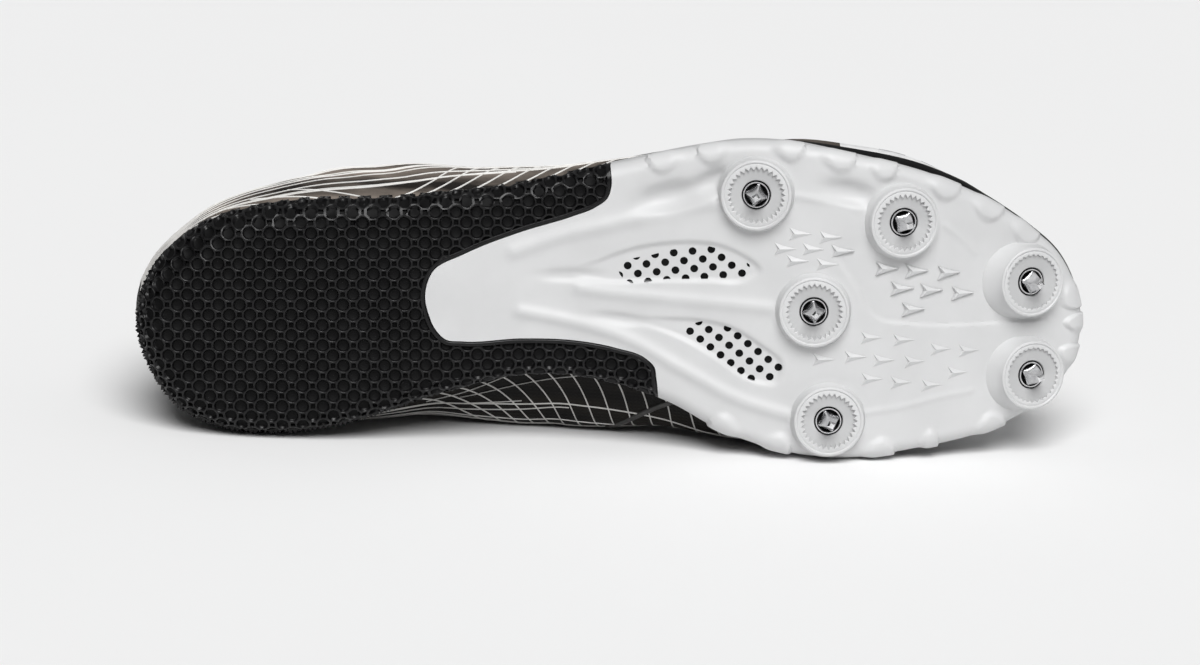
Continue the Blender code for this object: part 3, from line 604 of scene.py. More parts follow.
def uneven_gloss(made, low, high, scale):
    tree = made.node_tree
    noise = noise_at(tree, place_on(tree, scale), 3.0)
    feed(tree, mapped_range(tree, noise, 0.3, 0.7, low, high), "Roughness")


def grain(made, scale, depth):
    """A fine noise bump; depth is in metres."""
    tree = made.node_tree
    bumped(tree, noise_at(tree, place_on(tree, scale), 3.0), depth)


def woven(made, scale, depth):
    """A plain weave: two crossed bands under a fine noise. Scale is threads per metre."""
    tree = made.node_tree
    place = place_on(tree, scale)
    bands = {"Vector": place, "Scale": WEAVE_SCALE, "Distortion": 0.6}
    warp, weft = (node(tree, "ShaderNodeTexWave", bands, bands_direction=way).outputs["Fac"] for way in "XZ")
    both = node(tree, "ShaderNodeMath", {0: warp, 1: weft}, operation="MAXIMUM").outputs[0]
    noise = noise_at(tree, place, 3.0, 0.8)
    bumped(tree, node(tree, "ShaderNodeMath", {0: both, 1: noise}, operation="MULTIPLY").outputs[0], depth)


def finish(name, colour, roughness, treatments, metallic=0.0, specular=0.5):
    """A material and what is done to it: functions, each with its values."""
    made = material(name, colour, roughness, metallic, specular)
    for treat, values in treatments.items():
        treat(made, *values)
    return made


def make_materials():
    made = {}
    shades = {mottled: ((0.555, 0.557, 0.56), (0.585, 0.587, 0.59), 60), uneven_gloss: (0.42, 0.54, 90)}
    made["plate"] = finish("plate_white", (0.57, 0.572, 0.575), 0.48, {**shades, grain: (900, 0.00001)})
    # The dish in each boss is the plate's plastic, painted darker grey as the shade in its recess
    shades = {mottled: ((0.448, 0.45, 0.453), (0.472, 0.474, 0.477), 60), grain: (900, 0.00001)}
    made["dish"] = finish("boss_dish_painted_shade", (0.46, 0.462, 0.465), 0.5, shades)
    # The well walls and socket floors: near black, painted shade in the deep recesses
    shades = {mottled: ((0.008, 0.008, 0.009), (0.018, 0.018, 0.019), 500), grain: (1500, 0.00002)}
    made["well"] = finish("well_painted_shade", (0.012, 0.012, 0.013), 0.55, shades, specular=0.2)
    shades = {mottled: ((0.0026, 0.0024, 0.0028), (0.005, 0.0048, 0.0053), 160)}
    shades.update({uneven_gloss: (0.28, 0.42, 220), grain: (1500, 0.00003)})
    made["rubber"] = finish("tread_rubber", (0.004, 0.0038, 0.0043), 0.36, shades, specular=0.32)
    # The pit floors: the same rubber with lower gloss, its colour painted darker as shade
    shades = {mottled: ((0.0022, 0.0021, 0.0023), (0.004, 0.004, 0.0042), 160), grain: (1500, 0.00003)}
    made["pit"] = finish("pit_rubber_painted_shade", (0.003, 0.003, 0.0032), 0.6, shades, specular=0.12)
    shades = {mottled: ((0.003, 0.003, 0.0032), (0.0055, 0.0055, 0.0058), 120), grain: (1200, 0.00002)}
    made["rand"] = finish("rand_rubber", (0.004, 0.004, 0.0042), 0.45, shades, specular=0.08)
    # The medial pair is the fabric's own dark bronze; the lateral pair, on top of the lying shoe, is painted
    # light and sheen
    medial = ((0.0018, 0.0015, 0.0012), (0.009, 0.0070, 0.0050))
    lateral = ((0.012, 0.0100, 0.0085), (0.21, 0.178, 0.152))
    shades = {painted_side_light: (medial, lateral), woven: (1600, 0.00014)}
    made["fabric"] = finish("upper_fabric", (0.02, 0.016, 0.012), 0.6, shades, specular=0.15)
    shades = {mottled: ((0.66, 0.66, 0.665), (0.80, 0.80, 0.80), 260), woven: (1600, 0.00012)}
    made["toe"] = finish("toe_fabric", (0.55, 0.55, 0.55), 0.55, shades)
    shades = {mottled: ((0.020, 0.020, 0.021), (0.045, 0.045, 0.048), 500), woven: (1100, 0.0002)}
    made["lining"] = finish("lining_fabric", (0.03, 0.03, 0.032), 0.9, shades)
    made["lining"].node_tree.nodes["Principled BSDF"].inputs["Sheen Weight"].default_value = 0.5
    # The lines on the lateral side, on top of the lying shoe, are painted lighter: painted light
    medial = ((0.48, 0.47, 0.455), (0.60, 0.59, 0.57))
    lateral = ((0.72, 0.71, 0.69), (0.84, 0.83, 0.80))
    shades = {painted_side_light: (medial, lateral), grain: (2200, 0.00002)}
    made["film"] = finish("line_film", (0.80, 0.79, 0.76), 0.42, shades)
    shades = {mottled: ((0.72, 0.72, 0.73), (0.86, 0.86, 0.87), 700), uneven_gloss: (0.14, 0.26, 900)}
    shades[grain] = (3000, 0.00001)
    made["steel"] = finish("spike_steel", (0.80, 0.80, 0.81), 0.2, shades, metallic=1.0)
    shades = {mottled: ((0.62, 0.62, 0.63), (0.78, 0.78, 0.79), 600), grain: (3000, 0.00001)}
    made["ring"] = finish("socket_steel", (0.70, 0.70, 0.71), 0.25, shades, metallic=1.0)
    shades = {mottled: ((0.014, 0.013, 0.0125), (0.030, 0.028, 0.026), 220), grain: (1800, 0.00004)}
    made["stay"] = finish("stay_film", (0.02, 0.019, 0.018), 0.42, shades)
    shades = {mottled: ((0.11, 0.10, 0.095), (0.21, 0.20, 0.19), 2500), grain: (6000, 0.00003)}
    made["thread"] = finish("stitch_thread", (0.16, 0.15, 0.14), 0.6, shades)
    shades = {mottled: ((0.31, 0.31, 0.32), (0.41, 0.41, 0.42), 500), grain: (2200, 0.00002)}
    made["dash"] = finish("dash_film", (0.36, 0.36, 0.37), 0.4, shades)
    shades = {mottled: ((0.52, 0.52, 0.51), (0.70, 0.70, 0.69), 900), woven: (2400, 0.00025)}
    made["lace"] = finish("lace_cord", (0.60, 0.60, 0.59), 0.75, shades)
    # A near-black sheet under the window holes: painted shade that keeps them black
    shades = {mottled: ((0.004, 0.004, 0.004), (0.009, 0.009, 0.009), 800)}
    made["painted_shade_sheet"] = finish("window_painted_shade", (0.006, 0.006, 0.006), 0.95, shades, specular=0.1)
    shades = {mottled: ((0.857, 0.857, 0.857), (0.863, 0.863, 0.863), 3)}
    made["floor"] = finish("studio_floor", (0.86, 0.86, 0.86), 0.9, shades, specular=0.1)
    return made


def linked(name, data):
    """A new object in the scene."""
    made = bpy.data.objects.new(name, data)
    bpy.context.scene.collection.objects.link(made)
    return made


def add_piece(name, mesh, finishes, replaced=()):
    """A piece of the shoe, laid on its side from the last."""
    mesh.name = name
    mesh.transform(LYING)
    if mesh.materials:
        mesh.materials.clear()
    for finish in finishes:
        mesh.materials.append(FINISHES[finish])
    piece = linked(name, mesh)
    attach(piece, "root")
    if replaced:
        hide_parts(*replaced)
    return piece


def mesh_from(bm, name, soft=True, recalculate=True):
    if recalculate:
        bmesh.ops.recalc_face_normals(bm, faces=bm.faces)
    for face in bm.faces:
        face.smooth = soft
    mesh = bpy.data.meshes.new(name)
    bm.to_mesh(mesh)
    bm.free()
    return mesh


def grid_faces(bm, rows, closed=False):
    """Quads between rows of vertices."""
    for low, high in zip(rows, rows[1:]):
        count = len(low)
        for i in range(count if closed else count - 1):
            j = (i + 1) % count
            bm.faces.new((low[i], low[j], high[j], high[i]))


def capped_rings(bm, rows):
    """A closed body from rings of vertices."""
    grid_faces(bm, rows, closed=True)
    bm.faces.new(rows[0])
    bm.faces.new(rows[-1])


def capped_strip(bm, rows):
    """An open strip from rows of vertices, with both its ends closed."""
    grid_faces(bm, rows)
    for end in (0, -1):
        bm.faces.new([row[end] for row in rows])


def new_verts(bm, points):
    return [bm.verts.new(tuple(point)) for point in points]


def points_of(mesh):
    return np.array([vert.co[:] for vert in mesh.vertices])


def moved_to(mesh, points):
    for vert, point in zip(mesh.vertices, points):
        vert.co = point
    return mesh


def carved(mesh, cutters):
    """The mesh after each (other mesh, operation), by Boolean."""
    base = linked(mesh.name, mesh)
    others = []
    for other, operation in cutters:
        tool = linked(other.name, other)
        modifier = base.modifiers.new(operation, "BOOLEAN")
        modifier.operation = operation
        modifier.object = tool
        modifier.solver = "MANIFOLD"
        others.append(tool)
    graph = bpy.context.evaluated_depsgraph_get()
    graph.update()
    result = bpy.data.meshes.new_from_object(base.evaluated_get(graph))
    for done in [base, *others]:
        bpy.data.objects.remove(done, do_unlink=True)
    return result


def prism(points, low, high):
    """A closed prism over a plan outline."""
    bm = bmesh.new()
    capped_rings(bm, [[bm.verts.new((x, y, z)) for x, y in points] for z in (low, high)])
    return mesh_from(bm, "prism")


def grown(points, by):
    """A plan polygon moved outwards; its points run clockwise or anticlockwise."""
    points = np.asarray(points, float)
    area = np.sum(points[:, 0] * np.roll(points[:, 1], -1) - np.roll(points[:, 0], -1) * points[:, 1])
    return points - inward_normals(points) * by * np.sign(area)


def plate_edge():
    """The line between plate and rubber, as a smooth open curve, lateral end first."""
    return along_curve(plan(PLATE_BOUNDARY), steps=14)


def plate_zone():
    """The plan polygon of everything ahead of the line between plate and rubber."""
    line = plate_edge()
    front = TOE_X + 2 * CUT_MARGIN
    medial = line[-1, 1] + 2 * CUT_MARGIN
    lateral = line[0, 1] - 2 * CUT_MARGIN
    return np.array(
        [*line, (line[-1, 0], medial), (front, medial), (front, lateral), (line[0, 0], lateral)]
    )


def to_line(x, y, points):
    """Distance from each place to a line of points, and on which side of it the place is."""
    best = np.full(x.shape, 1e9)
    side = np.zeros(x.shape)
    for (ax, ay), (bx, by) in zip(points, points[1:]):
        length2 = (bx - ax) ** 2 + (by - ay) ** 2
        t = np.clip(((x - ax) * (bx - ax) + (y - ay) * (by - ay)) / length2, 0, 1)
        dx = x - ax - t * (bx - ax)
        dy = y - ay - t * (by - ay)
        distance = np.hypot(dx, dy)
        closer = distance < best
        side = np.where(closer, np.sign((bx - ax) * (y - ay) - (by - ay) * (x - ax)), side)
        best = np.where(closer, distance, best)
    return best, side


def inside_loop(x, y, loop):
    """True where a place lies inside a closed loop."""
    found = np.zeros(x.shape, bool)
    for (ax, ay), (bx, by) in zip(loop, np.roll(loop, -1, axis=0)):
        crosses = (ay > y) != (by > y)
        with np.errstate(divide="ignore", invalid="ignore"):
            at = ax + (y - ay) * (bx - ax) / (by - ay)
        found ^= crosses & (x < at)
    return found


def window_loop(side):
    return rounded_loop(plan(WINDOWS[side]), steps=10) / MM


def plate_relief(flat):
    """How far the plate's face stands out at each place of the unrolled sole."""
    x = flat[:, 0] / MM
    y = flat[:, 1] / MM
    inside, index = nearest_edge(flat)
    inside = inside / MM
    lift = np.zeros(len(flat))
    for height, half, points in RIBS:
        distance = to_line(x, y, along_curve(points, 8))[0]
        lift += height * np.exp(-((distance / half) ** 2))
    for cx, cy, length, width, turn, depth in HOLLOWS:
        c = math.cos(math.radians(turn))
        s = math.sin(math.radians(turn))
        along = ((x - cx) * c + (y - cy) * s) / length
        across = (-(x - cx) * s + (y - cy) * c) / width
        lift -= depth * np.exp(-(along**2 + across**2) ** 1.4)
    distance, side = to_line(x, y, along_curve(STEP_LINE, 10))
    raised = smooth(distance * side, -0.45, 0.45)
    ahead = smooth(x + 0.6 * y, 196, 206) * (1 - smooth(x, 272, 284))
    lift -= STEP_HEIGHT * (1 - raised) * ahead * (1 - smooth(-y, 20, 30))
    for name in WINDOWS:
        loop = window_loop(name)
        distance = to_line(x, y, np.concatenate([loop, loop[:1]]))[0]
        signed = np.where(inside_loop(x, y, loop), distance, -distance)
        lift -= WINDOW_DEPTH * smooth(signed, -1.3, 0.35) * smooth(x, *WINDOW_RAMP[name])
    run = OUTLINE_LENGTH[index] / MM
    for ax, ay, bx, by in LIPS:
        ends = nearest_edge(np.array([(ax, ay), (bx, by)]) * MM)[1]
        start, end = sorted(OUTLINE_LENGTH[ends] / MM)
        share = np.clip((run - start) / (end - start), 0, 1)
        if (ax + bx > 2 * BALL_LINE) != (ay < 0):
            share = 1 - share
        reach = LIP_REACH * np.sin(math.pi * share**1.7) ** 0.7
        band = smooth(inside, -4.0, 0.5) * np.clip(1 - (inside - reach) / LIP_SLOPE, 0, 1)
        rise = smooth(share, 0.0, 0.5) * (1 - smooth(share, 0.96, 1.0))
        lift += LIP_HEIGHT * band * rise
    for sx, sy, *_ in SPIKE_SEATS:
        away = np.hypot(x - sx * SHOE_LENGTH / MM, y - sy * BALL_WIDTH / MM)
        lift = lift * smooth(away, 10.4, 12.0) + 0.2 * (1 - smooth(away, 11.0, 13.0))
        lift -= SEAT_DEPTH * (1 - smooth(away, 5.2, 7.0))
    return lift * MM


def sole_block(x, rows, lift):
    """A closed block of the sole over places along it, its skin lifted by a function."""
    lateral, medial = sides_of(unrolled_edge())
    low = np.interp(x, lateral[:, 0], lateral[:, 1])
    high = np.interp(x, medial[:, 0], medial[:, 1])
    across = low[:, None] + (high - low)[:, None] * np.linspace(0, 1, rows)
    flat = np.stack([np.repeat(x, rows), across.ravel()], axis=1)
    bm = bmesh.new()
    verts = new_verts(bm, rolled(flat, lift(flat)))
    lines = [verts[i * rows : (i + 1) * rows] for i in range(len(x))]
    grid_faces(bm, lines)
    for near, far in zip(lines, lines[1:]):
        bm.faces.new((near[0], far[0], far[-1], near[-1]))
    bm.faces.new(lines[0])
    bm.faces.new(lines[-1])
    return mesh_from(bm, "sole_block")


def clipped_to_circle(loop, centre, radius, sides=20):
    """The part of a closed loop inside a circle."""
    kept = [np.array(point) for point in loop]
    angles = np.arange(sides) * 2 * math.pi / sides
    corners = [np.array(centre) + radius * np.array((math.cos(a), math.sin(a))) for a in angles]
    for a, b in zip(corners, corners[1:] + corners[:1]):
        result = []
        for start, end in zip(kept, kept[1:] + kept[:1]):
            s = (b[0] - a[0]) * (start[1] - a[1]) - (b[1] - a[1]) * (start[0] - a[0])
            e = (b[0] - a[0]) * (end[1] - a[1]) - (b[1] - a[1]) * (end[0] - a[0])
            if s >= 0:
                result.append(start)
            if s * e < 0:
                result.append(start + (end - start) * s / (s - e))
        kept = result
        if len(kept) < 3:
            return []
    return kept


def hole_prisms(side, low, high):
    """The window's holes, each cut off where it meets the window's edge, as one set of prisms."""
    loop = rounded_loop(np.array(HOLE_FIELDS[side]), steps=4)
    start = np.array(HOLE_START[side])
    first, second = (np.array(step) for step in HOLE_STEPS)
    bm = bmesh.new()
    for i in range(-14, 15):
        for j in range(-10, 11):
            centre = start + i * first + j * second
            outline = clipped_to_circle(loop, centre, HOLE_RADIUS)
            if len(outline) < 3:
                continue
            if min(np.ptp(np.array(outline), axis=0)) < 0.85:
                continue
            capped_rings(bm, [[bm.verts.new((x * MM, y * MM, z)) for x, y in outline] for z in (low, high)])
    bmesh.ops.remove_doubles(bm, verts=bm.verts, dist=0.000005)
    bmesh.ops.dissolve_degenerate(bm, edges=bm.edges, dist=0.000004)
    return mesh_from(bm, "holes")


def make_plate():
    start = plate_edge()[:, 0].min() - 0.003
    reach = unrolled_edge()[:, 0].max() - start
    share = np.sin(0.5 * np.pi * np.linspace(0, 0.985, 330))
    skin = sole_block(start + reach * share, 150, plate_relief)
    cutters = [(prism(plate_zone(), -CUT_MARGIN, 3 * CUT_MARGIN), "INTERSECT")]
    for side in WINDOWS:
        cutters.append((hole_prisms(side, -CUT_MARGIN, 0.0045), "DIFFERENCE"))
    mesh = carved(skin, cutters)
    crisp_edges(mesh, 38)
    add_piece("forefoot_plate", mesh, ["plate"], ["spike_plate"])
    # Under each window lies a near-black sheet: painted shade that keeps the holes black
    for side in WINDOWS:
        loop = grown(window_loop(side), 0.4) * MM
        level = sole_profile(loop[:, 0])[0] + (WINDOW_DEPTH + 0.55) * MM
        bm = bmesh.new()
        capped_rings(bm, [new_verts(bm, np.column_stack([loop, level + thick])) for thick in (0, 0.0008)])
        mesh = mesh_from(bm, "painted_shade_sheet", soft=False)
        add_piece(f"window_painted_shade_{side}", mesh, ["painted_shade_sheet"])


def crisp_edges(mesh, degrees):
    """Smooth shading that keeps edges over this angle sharp."""
    mesh.shade_smooth()
    mesh.set_sharp_from_angle(angle=math.radians(degrees))


def boss_rings(height):
    """Radius, tooth depth and height of each ring of a boss, from its foot to the well."""
    flare = BOSS_FLARE_RADIUS
    lip = BOSS_LIP_RADIUS
    mouth = BOSS_MOUTH_RADIUS
    dish = height - BOSS_DISH
    return (
        (flare - 0.0006, 0, -0.0008),
        (flare - 0.0009, 0, 0.0003),
        (flare - 0.0012, 0, 0.0008),
        (lip + 0.0006, 0, 0.45 * height),
        (lip + 0.0004, 0, 0.80 * height),
        (lip + 0.0002, 0, 0.95 * height),
        (lip - 0.0001, 0, 0.99 * height),
        (lip - 0.0004, 0, height),
        (lip - 0.0006, 0, height - 0.00010),
        (lip - 0.0008, 0, height - 0.00032),
        (lip - 0.0010, 0, height - 0.00020),
        (mouth + 0.0001, 1, height - 0.00020),
        (mouth - 0.0001, 1, height - 0.00030),
        (mouth - 0.0002, 1, height - 0.00090),
        (mouth - 0.0016, 0, height - 0.00105),
        (0.0062, 0, height - 0.00120),
        (SOCKET_RADIUS + 0.0009, 0, dish + 0.00008),
        (SOCKET_RADIUS + 0.0003, 0, dish),
        (SOCKET_RADIUS + 0.0001, 0, dish - 0.0003),
        (SOCKET_RADIUS + 0.0001, 0, dish - 0.0030),
    )


def make_bosses():
    sides = BOSS_TEETH * 6
    bm = bmesh.new()
    for x, y, height, _ in SPIKE_SEATS:
        pose = seat_frame(x, y)
        toe_seat = x > 0.9
        rows = []
        for radius, toothed, z in boss_rings(height):
            row = []
            for k in range(sides):
                angle = 2 * math.pi * k / sides
                tooth = 1 - abs(2 * (k % 6) / 6 - 1)
                r = radius - toothed * (0.0006 if toe_seat else 0.0011) * tooth
                drop = 0
                if toe_seat and len(rows) < 4:
                    back = max(0.0, -math.cos(angle)) ** 1.5
                    r += TOE_SEAT_RAMP * back * (1, 0.9, 0.75, 0.35)[len(rows)]
                    drop = 0.0010 * back * (1, 0.9, 0.6, 0)[len(rows)]
                row.append(bm.verts.new(pose @ Vector((r * math.cos(angle), r * math.sin(angle), z - drop))))
            rows.append(row)
        first = len(bm.faces)
        grid_faces(bm, rows, closed=True)
        bm.faces.new(rows[-1])
        bm.faces.ensure_lookup_table()
        # Bands 13 to 17, the dish, take the darker dish finish, and the well's wall and floor the near-black
        # well finish: both painted shade
        for index in range(first, len(bm.faces)):
            ring = (index - first) // sides
            bm.faces[index].material_index = 0 if ring < 13 else 1 if ring < 18 else 2
    mesh = mesh_from(bm, "bosses", recalculate=False)
    crisp_edges(mesh, 32)
    add_piece("spike_bosses", mesh, ["plate", "dish", "well"])


def make_nubs():
    bm = bmesh.new()
    for x, y in NUBS:
        pose = bottom_frame(x * MM, y * MM)
        base, top = (
            [bm.verts.new(pose @ Vector((size * u * MM, size * v * MM, z))) for u, v in NUB_POINTS]
            for size, z in ((1, -0.0006), (0.86, 0.00012))
        )
        peak = bm.verts.new(pose @ Vector((-1.0 * MM, 0.05 * MM, NUB_HEIGHT * MM)))
        grid_faces(bm, [base, top], closed=True)
        for a, b in zip(top, top[1:] + top[:1]):
            bm.faces.new((a, b, peak))
    add_piece("tread_nubs", mesh_from(bm, "nubs", soft=False), ["plate"])


def make_spikes():
    """A steel ring with a recessed floor in each boss, and the pyramid spike that stands in it."""
    sides = 48
    turns = [2 * math.pi * k / sides for k in range(sides)]
    rings = bmesh.new()
    spikes = bmesh.new()
    for x, y, height, turn in SPIKE_SEATS:
        pose = seat_frame(x, y)
        top = height - BOSS_DISH
        profile = (
            (SOCKET_RADIUS - 0.0003, top - 0.0040),
            (SOCKET_RADIUS - 0.0003, top - 0.00015),
            (SOCKET_RADIUS - 0.0004, top),
            (SOCKET_RADIUS - 0.0007, top),
            (SOCKET_RADIUS - 0.0008, top - 0.00015),
            (SOCKET_RADIUS - 0.0009, top - 0.0026),
            (0.0012, top - 0.0027),
        )
        first = len(rings.faces)
        capped_rings(rings, [seat_ring(rings, pose, radius, turns, z) for radius, z in profile])
        rings.faces.ensure_lookup_table()
        # The inner wall and floor of each ring take the near-black well finish: painted shade
        for index in range(first, len(rings.faces)):
            rings.faces[index].material_index = int(index - first >= 4 * sides)
        levels = (
            (SPIKE_BASE * 0.94, top - 0.0027),
            (SPIKE_BASE * 0.94, top + 0.0004),
            (SPIKE_BASE * 0.90, top + 0.0008),
            (SPIKE_TIP, top + 0.95 * SPIKE_LENGTH),
            (SPIKE_TIP * 0.5, top + SPIKE_LENGTH + GAP),
        )
        corners = [math.radians(turn + 45 + 90 * (k // 2)) + (0.09 if k % 2 else -0.09) for k in range(8)]
        reach = math.sqrt(0.5)
        capped_rings(spikes, [seat_ring(spikes, pose, width * reach, corners, z) for width, z in levels])
    ring_mesh = mesh_from(rings, "rings")
    crisp_edges(ring_mesh, 30)
    numbers = range(1, len(SPIKE_SEATS) + 1)
    add_piece("spike_sockets", ring_mesh, ["ring", "well"], [f"socket_{k}" for k in numbers])
    spike_mesh = mesh_from(spikes, "spikes", soft=False)
    add_piece("steel_spikes", spike_mesh, ["steel"], [f"spike_{k}" for k in numbers])


def seat_ring(bm, pose, radius, angles, z):
    """New vertices round a seat's axis."""
    return [bm.verts.new(pose @ Vector((radius * math.cos(a), radius * math.sin(a), z))) for a in angles]


def knob_height(flat):
    """How far the tread sinks between its corners, where it turns up behind and on the medial side."""
    inside, index = nearest_edge(flat)
    radius = sole_profile(OUTLINE[index, 0])[2]
    turned = smooth((radius - inside) / radius, 0.75, 1.25) * (1 - smooth(flat[:, 0], 0.075, 0.11))
    return KNOB_HEIGHT * MM * turned * smooth(flat[:, 1], -0.024, -0.014)


def tread_cell():
    """One cell of the tread, in millimetres: a round pit in a diamond with a square pit at each corner."""
    points = []
    faces = [tuple(range(16))]
    for radius, height in PIT_RINGS:
        for k in range(16):
            angle = math.pi * k / 8
            points.append((radius * math.cos(angle), radius * math.sin(angle), height))
    for ring in range(len(PIT_RINGS) - 1):
        for k in range(16):
            a = ring * 16 + k
            b = ring * 16 + (k + 1) % 16
            faces.append((a, b, b + 16, a + 16))
    land = len(points)
    near = CELL - 0.72
    corner = ((near, 0, 0.0), (near, CELL - near, 0.20), (CELL / 2, CELL / 2, 0.13), (CELL - near, near, 0.20))
    for c, s in QUARTER_TURNS:
        points += [(u * c - v * s, u * s + v * c, height) for u, v, height in corner]
    for k in range(16):
        faces.append((land - 16 + k, land - 16 + (k + 1) % 16, land + (k + 1) % 16, land + k))
    low = near + 0.10
    for quarter, (c, s) in enumerate(QUARTER_TURNS):
        start = len(points)
        for u, v in ((low, low - CELL), (low, 0), (low, CELL - low), (CELL, 0)):
            points.append((u * c - v * s, u * s + v * c, -SQUARE_DEPTH))
        before = land + (4 * quarter - 1) % 16
        middle = land + 4 * quarter
        faces.append((before, middle, start + 1, start))
        faces.append((middle, middle + 1, start + 2, start + 1))
        faces.append((start, start + 1, start + 3))
        faces.append((start + 1, start + 2, start + 3))
    return np.array(points), faces


def tread_slab(low, high):
    """A flat closed slab of tread cells over a plan rectangle, in metres."""
    cell, faces = tread_cell()
    bm = bmesh.new()
    columns, rows = (int((high[k] - low[k]) / MM / CELL) + 2 for k in (0, 1))
    for i in range(columns):
        for j in range(rows):
            if (i + j) % 2:
                continue
            shift = np.array((low[0] / MM + i * CELL, low[1] / MM + j * CELL, 0))
            verts = new_verts(bm, (cell + shift) * MM)
            for face in faces:
                bm.faces.new([verts[k] for k in face])
    bmesh.ops.remove_doubles(bm, verts=bm.verts, dist=0.00001)
    rim = [edge for edge in bm.edges if len(edge.link_faces) == 1]
    made = bmesh.ops.extrude_edge_only(bm, edges=rim)["geom"]
    for vert in made:
        if isinstance(vert, bmesh.types.BMVert):
            vert.co.z = -TREAD_BACK * MM
    base = [edge for edge in made if isinstance(edge, bmesh.types.BMEdge) and len(edge.link_faces) == 1]
    bmesh.ops.contextual_create(bm, geom=base)
    return mesh_from(bm, "slab")


def mapped_mesh(mesh):
    """Rolls a mesh that lies on the unrolled sole, with its height as the lift, round the real one."""
    points = points_of(mesh)
    points[:, 2] -= knob_height(points[:, :2]) * (1 - smooth(points[:, 2] / MM, 0.15, 0.19))
    return moved_to(mesh, rolled(points[:, :2], points[:, 2]))


def spread_out(mesh):
    """Stretches a flat mesh outwards past the lateral edge's turn, so its cells look even from below."""
    points = points_of(mesh)
    inside, index = nearest_edge(points[:, :2])
    radius = sole_profile(OUTLINE[index, 0])[2]
    turn = np.maximum((radius - inside) / radius, 0)
    steep = math.sqrt(1 - 1 / TURN_STRETCH**2)
    eased = np.arcsin(np.minimum(turn, steep)) + TURN_STRETCH * np.maximum(turn - steep, 0)
    share = smooth(-points[:, 1], 0.002, 0.026)
    points[:, :2] -= OUTLINE_INWARD[index] * ((eased - turn) * radius * share)[:, None]
    return moved_to(mesh, points)


def make_heel():
    edge = unrolled_edge()
    zone = plate_zone()
    front = plate_edge()[:, 0].max() + 0.004
    low = edge.min(axis=0) - 0.004
    high = np.array((front + 0.004, edge[:, 1].max() + 0.004))
    slab = spread_out(tread_slab(low, high))
    field = prism(grown(edge, -0.0003), -0.01, 0.01)
    kept_off = prism(grown(zone, GAP + RIM_WIDTH * MM), -0.02, 0.02)
    tread = carved(slab, [(field, "INTERSECT"), (kept_off, "DIFFERENCE")])
    bm = bmesh.new()
    bm.from_mesh(tread)
    back = [face for face in bm.faces if all(vert.co.z < -0.99 * TREAD_BACK * MM for vert in face.verts)]
    bmesh.ops.delete(bm, geom=back, context="FACES")
    # Faces deep in the pits take the pit finish, darker and duller: painted shade in the pits
    for face in bm.faces:
        if all(vert.co.z < -0.8 * SQUARE_DEPTH * MM for vert in face.verts):
            face.material_index = 1
    tread = mapped_mesh(mesh_from(bm, "tread", recalculate=False))
    flip_outwards(tread)
    crisp_edges(tread, 50)
    add_piece("heel_tread", tread, ["rubber", "pit"], ["heel_outsole"])
    share = 1 - np.cos(0.5 * np.pi * np.linspace(0.015, 1, 150))
    start = edge[:, 0].min()
    block = sole_block(start + (front - start) * share, 60, core_lift)
    core = carved(block, [(prism(grown(zone, GAP), -CUT_MARGIN, 3 * CUT_MARGIN), "DIFFERENCE")])
    crisp_edges(core, 40)
    add_piece("heel_core", core, ["rubber"])
    make_rim()


def flip_outwards(mesh):
    """Turns the faces round if most of them look up into the shoe."""
    up = sum(polygon.normal.z * polygon.area for polygon in mesh.polygons)
    if up > 0:
        mesh.flip_normals()


def core_lift(flat):
    """How far the rubber's body lies under the tread's land."""
    return -0.0013 - knob_height(flat)


def make_rim():
    """The plain rim of the rubber along the plate."""
    line = plate_edge()
    line = line[nearest_edge(line)[0] > -0.0045]
    along = unit(np.gradient(line, axis=0))
    away = np.stack([along[:, 1], -along[:, 0]], axis=1)
    if away[len(away) // 2, 0] > 0:
        away = -away
    bm = bmesh.new()
    rows = []
    for offset, lift in RIM_SECTION:
        flat = line + away * offset * MM
        rows.append(new_verts(bm, rolled(flat, np.full(len(flat), lift * MM))))
    grid_faces(bm, rows)
    mesh = mesh_from(bm, "rim")
    crisp_edges(mesh, 50)
    add_piece("heel_rim", mesh, ["rubber"])


def station(side, x_share):
    """Where a place on the outline falls in the ring of stations."""
    if side == "heel":
        return 0.0
    if side == "toe":
        return float(STATIONS)
    along = np.clip((x_share * SHOE_LENGTH - HEEL_X) / (TOE_X - HEEL_X), 0, 1)
    k = math.acos(1 - 2 * along) * STATIONS / math.pi
    return k if side == "lateral" else 2 * STATIONS - k


def outline_ring():
    """The outline at the ring's stations: lateral ones to the toe, then medial ones back."""
    along = 0.5 - 0.5 * np.cos(np.pi * np.arange(STATIONS + 1) / STATIONS)
    x = HEEL_X + (TOE_X - HEEL_X) * along
    lateral, medial = (
        np.stack([x, np.interp(x, edge[:, 0], edge[:, 1])], axis=1) for edge in (LATERAL_EDGE, MEDIAL_EDGE)
    )
    return np.concatenate([lateral, medial[-2:0:-1]])


RING = outline_ring()
RING_INWARD = inward_normals(RING)


def upper_columns():
    """Feather, bulge, shoulder and rim at every station of the ring."""
    knots = []
    values = []
    for side, at, bulge, bulge_z, *rest in UPPER_SECTIONS:
        knots.append(station(side, at))
        values.append([bulge * BALL_WIDTH, bulge_z * INSTEP_HEIGHT, *rest])
    columns = interpolate_loop(knots, values, 2 * STATIONS, np.arange(2 * STATIONS))
    columns[:, 2:] *= np.array([SHOE_LENGTH, BALL_WIDTH, INSTEP_HEIGHT] * 2)
    return columns


def section_curves(guides, rows):
    """Each section's smooth curve through its guide points, read at shares of its length."""
    rings = np.zeros((len(rows), len(guides), 3))
    for i, points in enumerate(guides):
        knots = run_along(points)
        fine = interpolate(knots, points, np.linspace(0, knots[-1], 120))
        lengths = run_along(fine)
        at = np.asarray(rows) * lengths[-1]
        rings[:, i] = np.stack([np.interp(at, lengths, fine[:, k]) for k in range(3)], axis=1)
    return rings


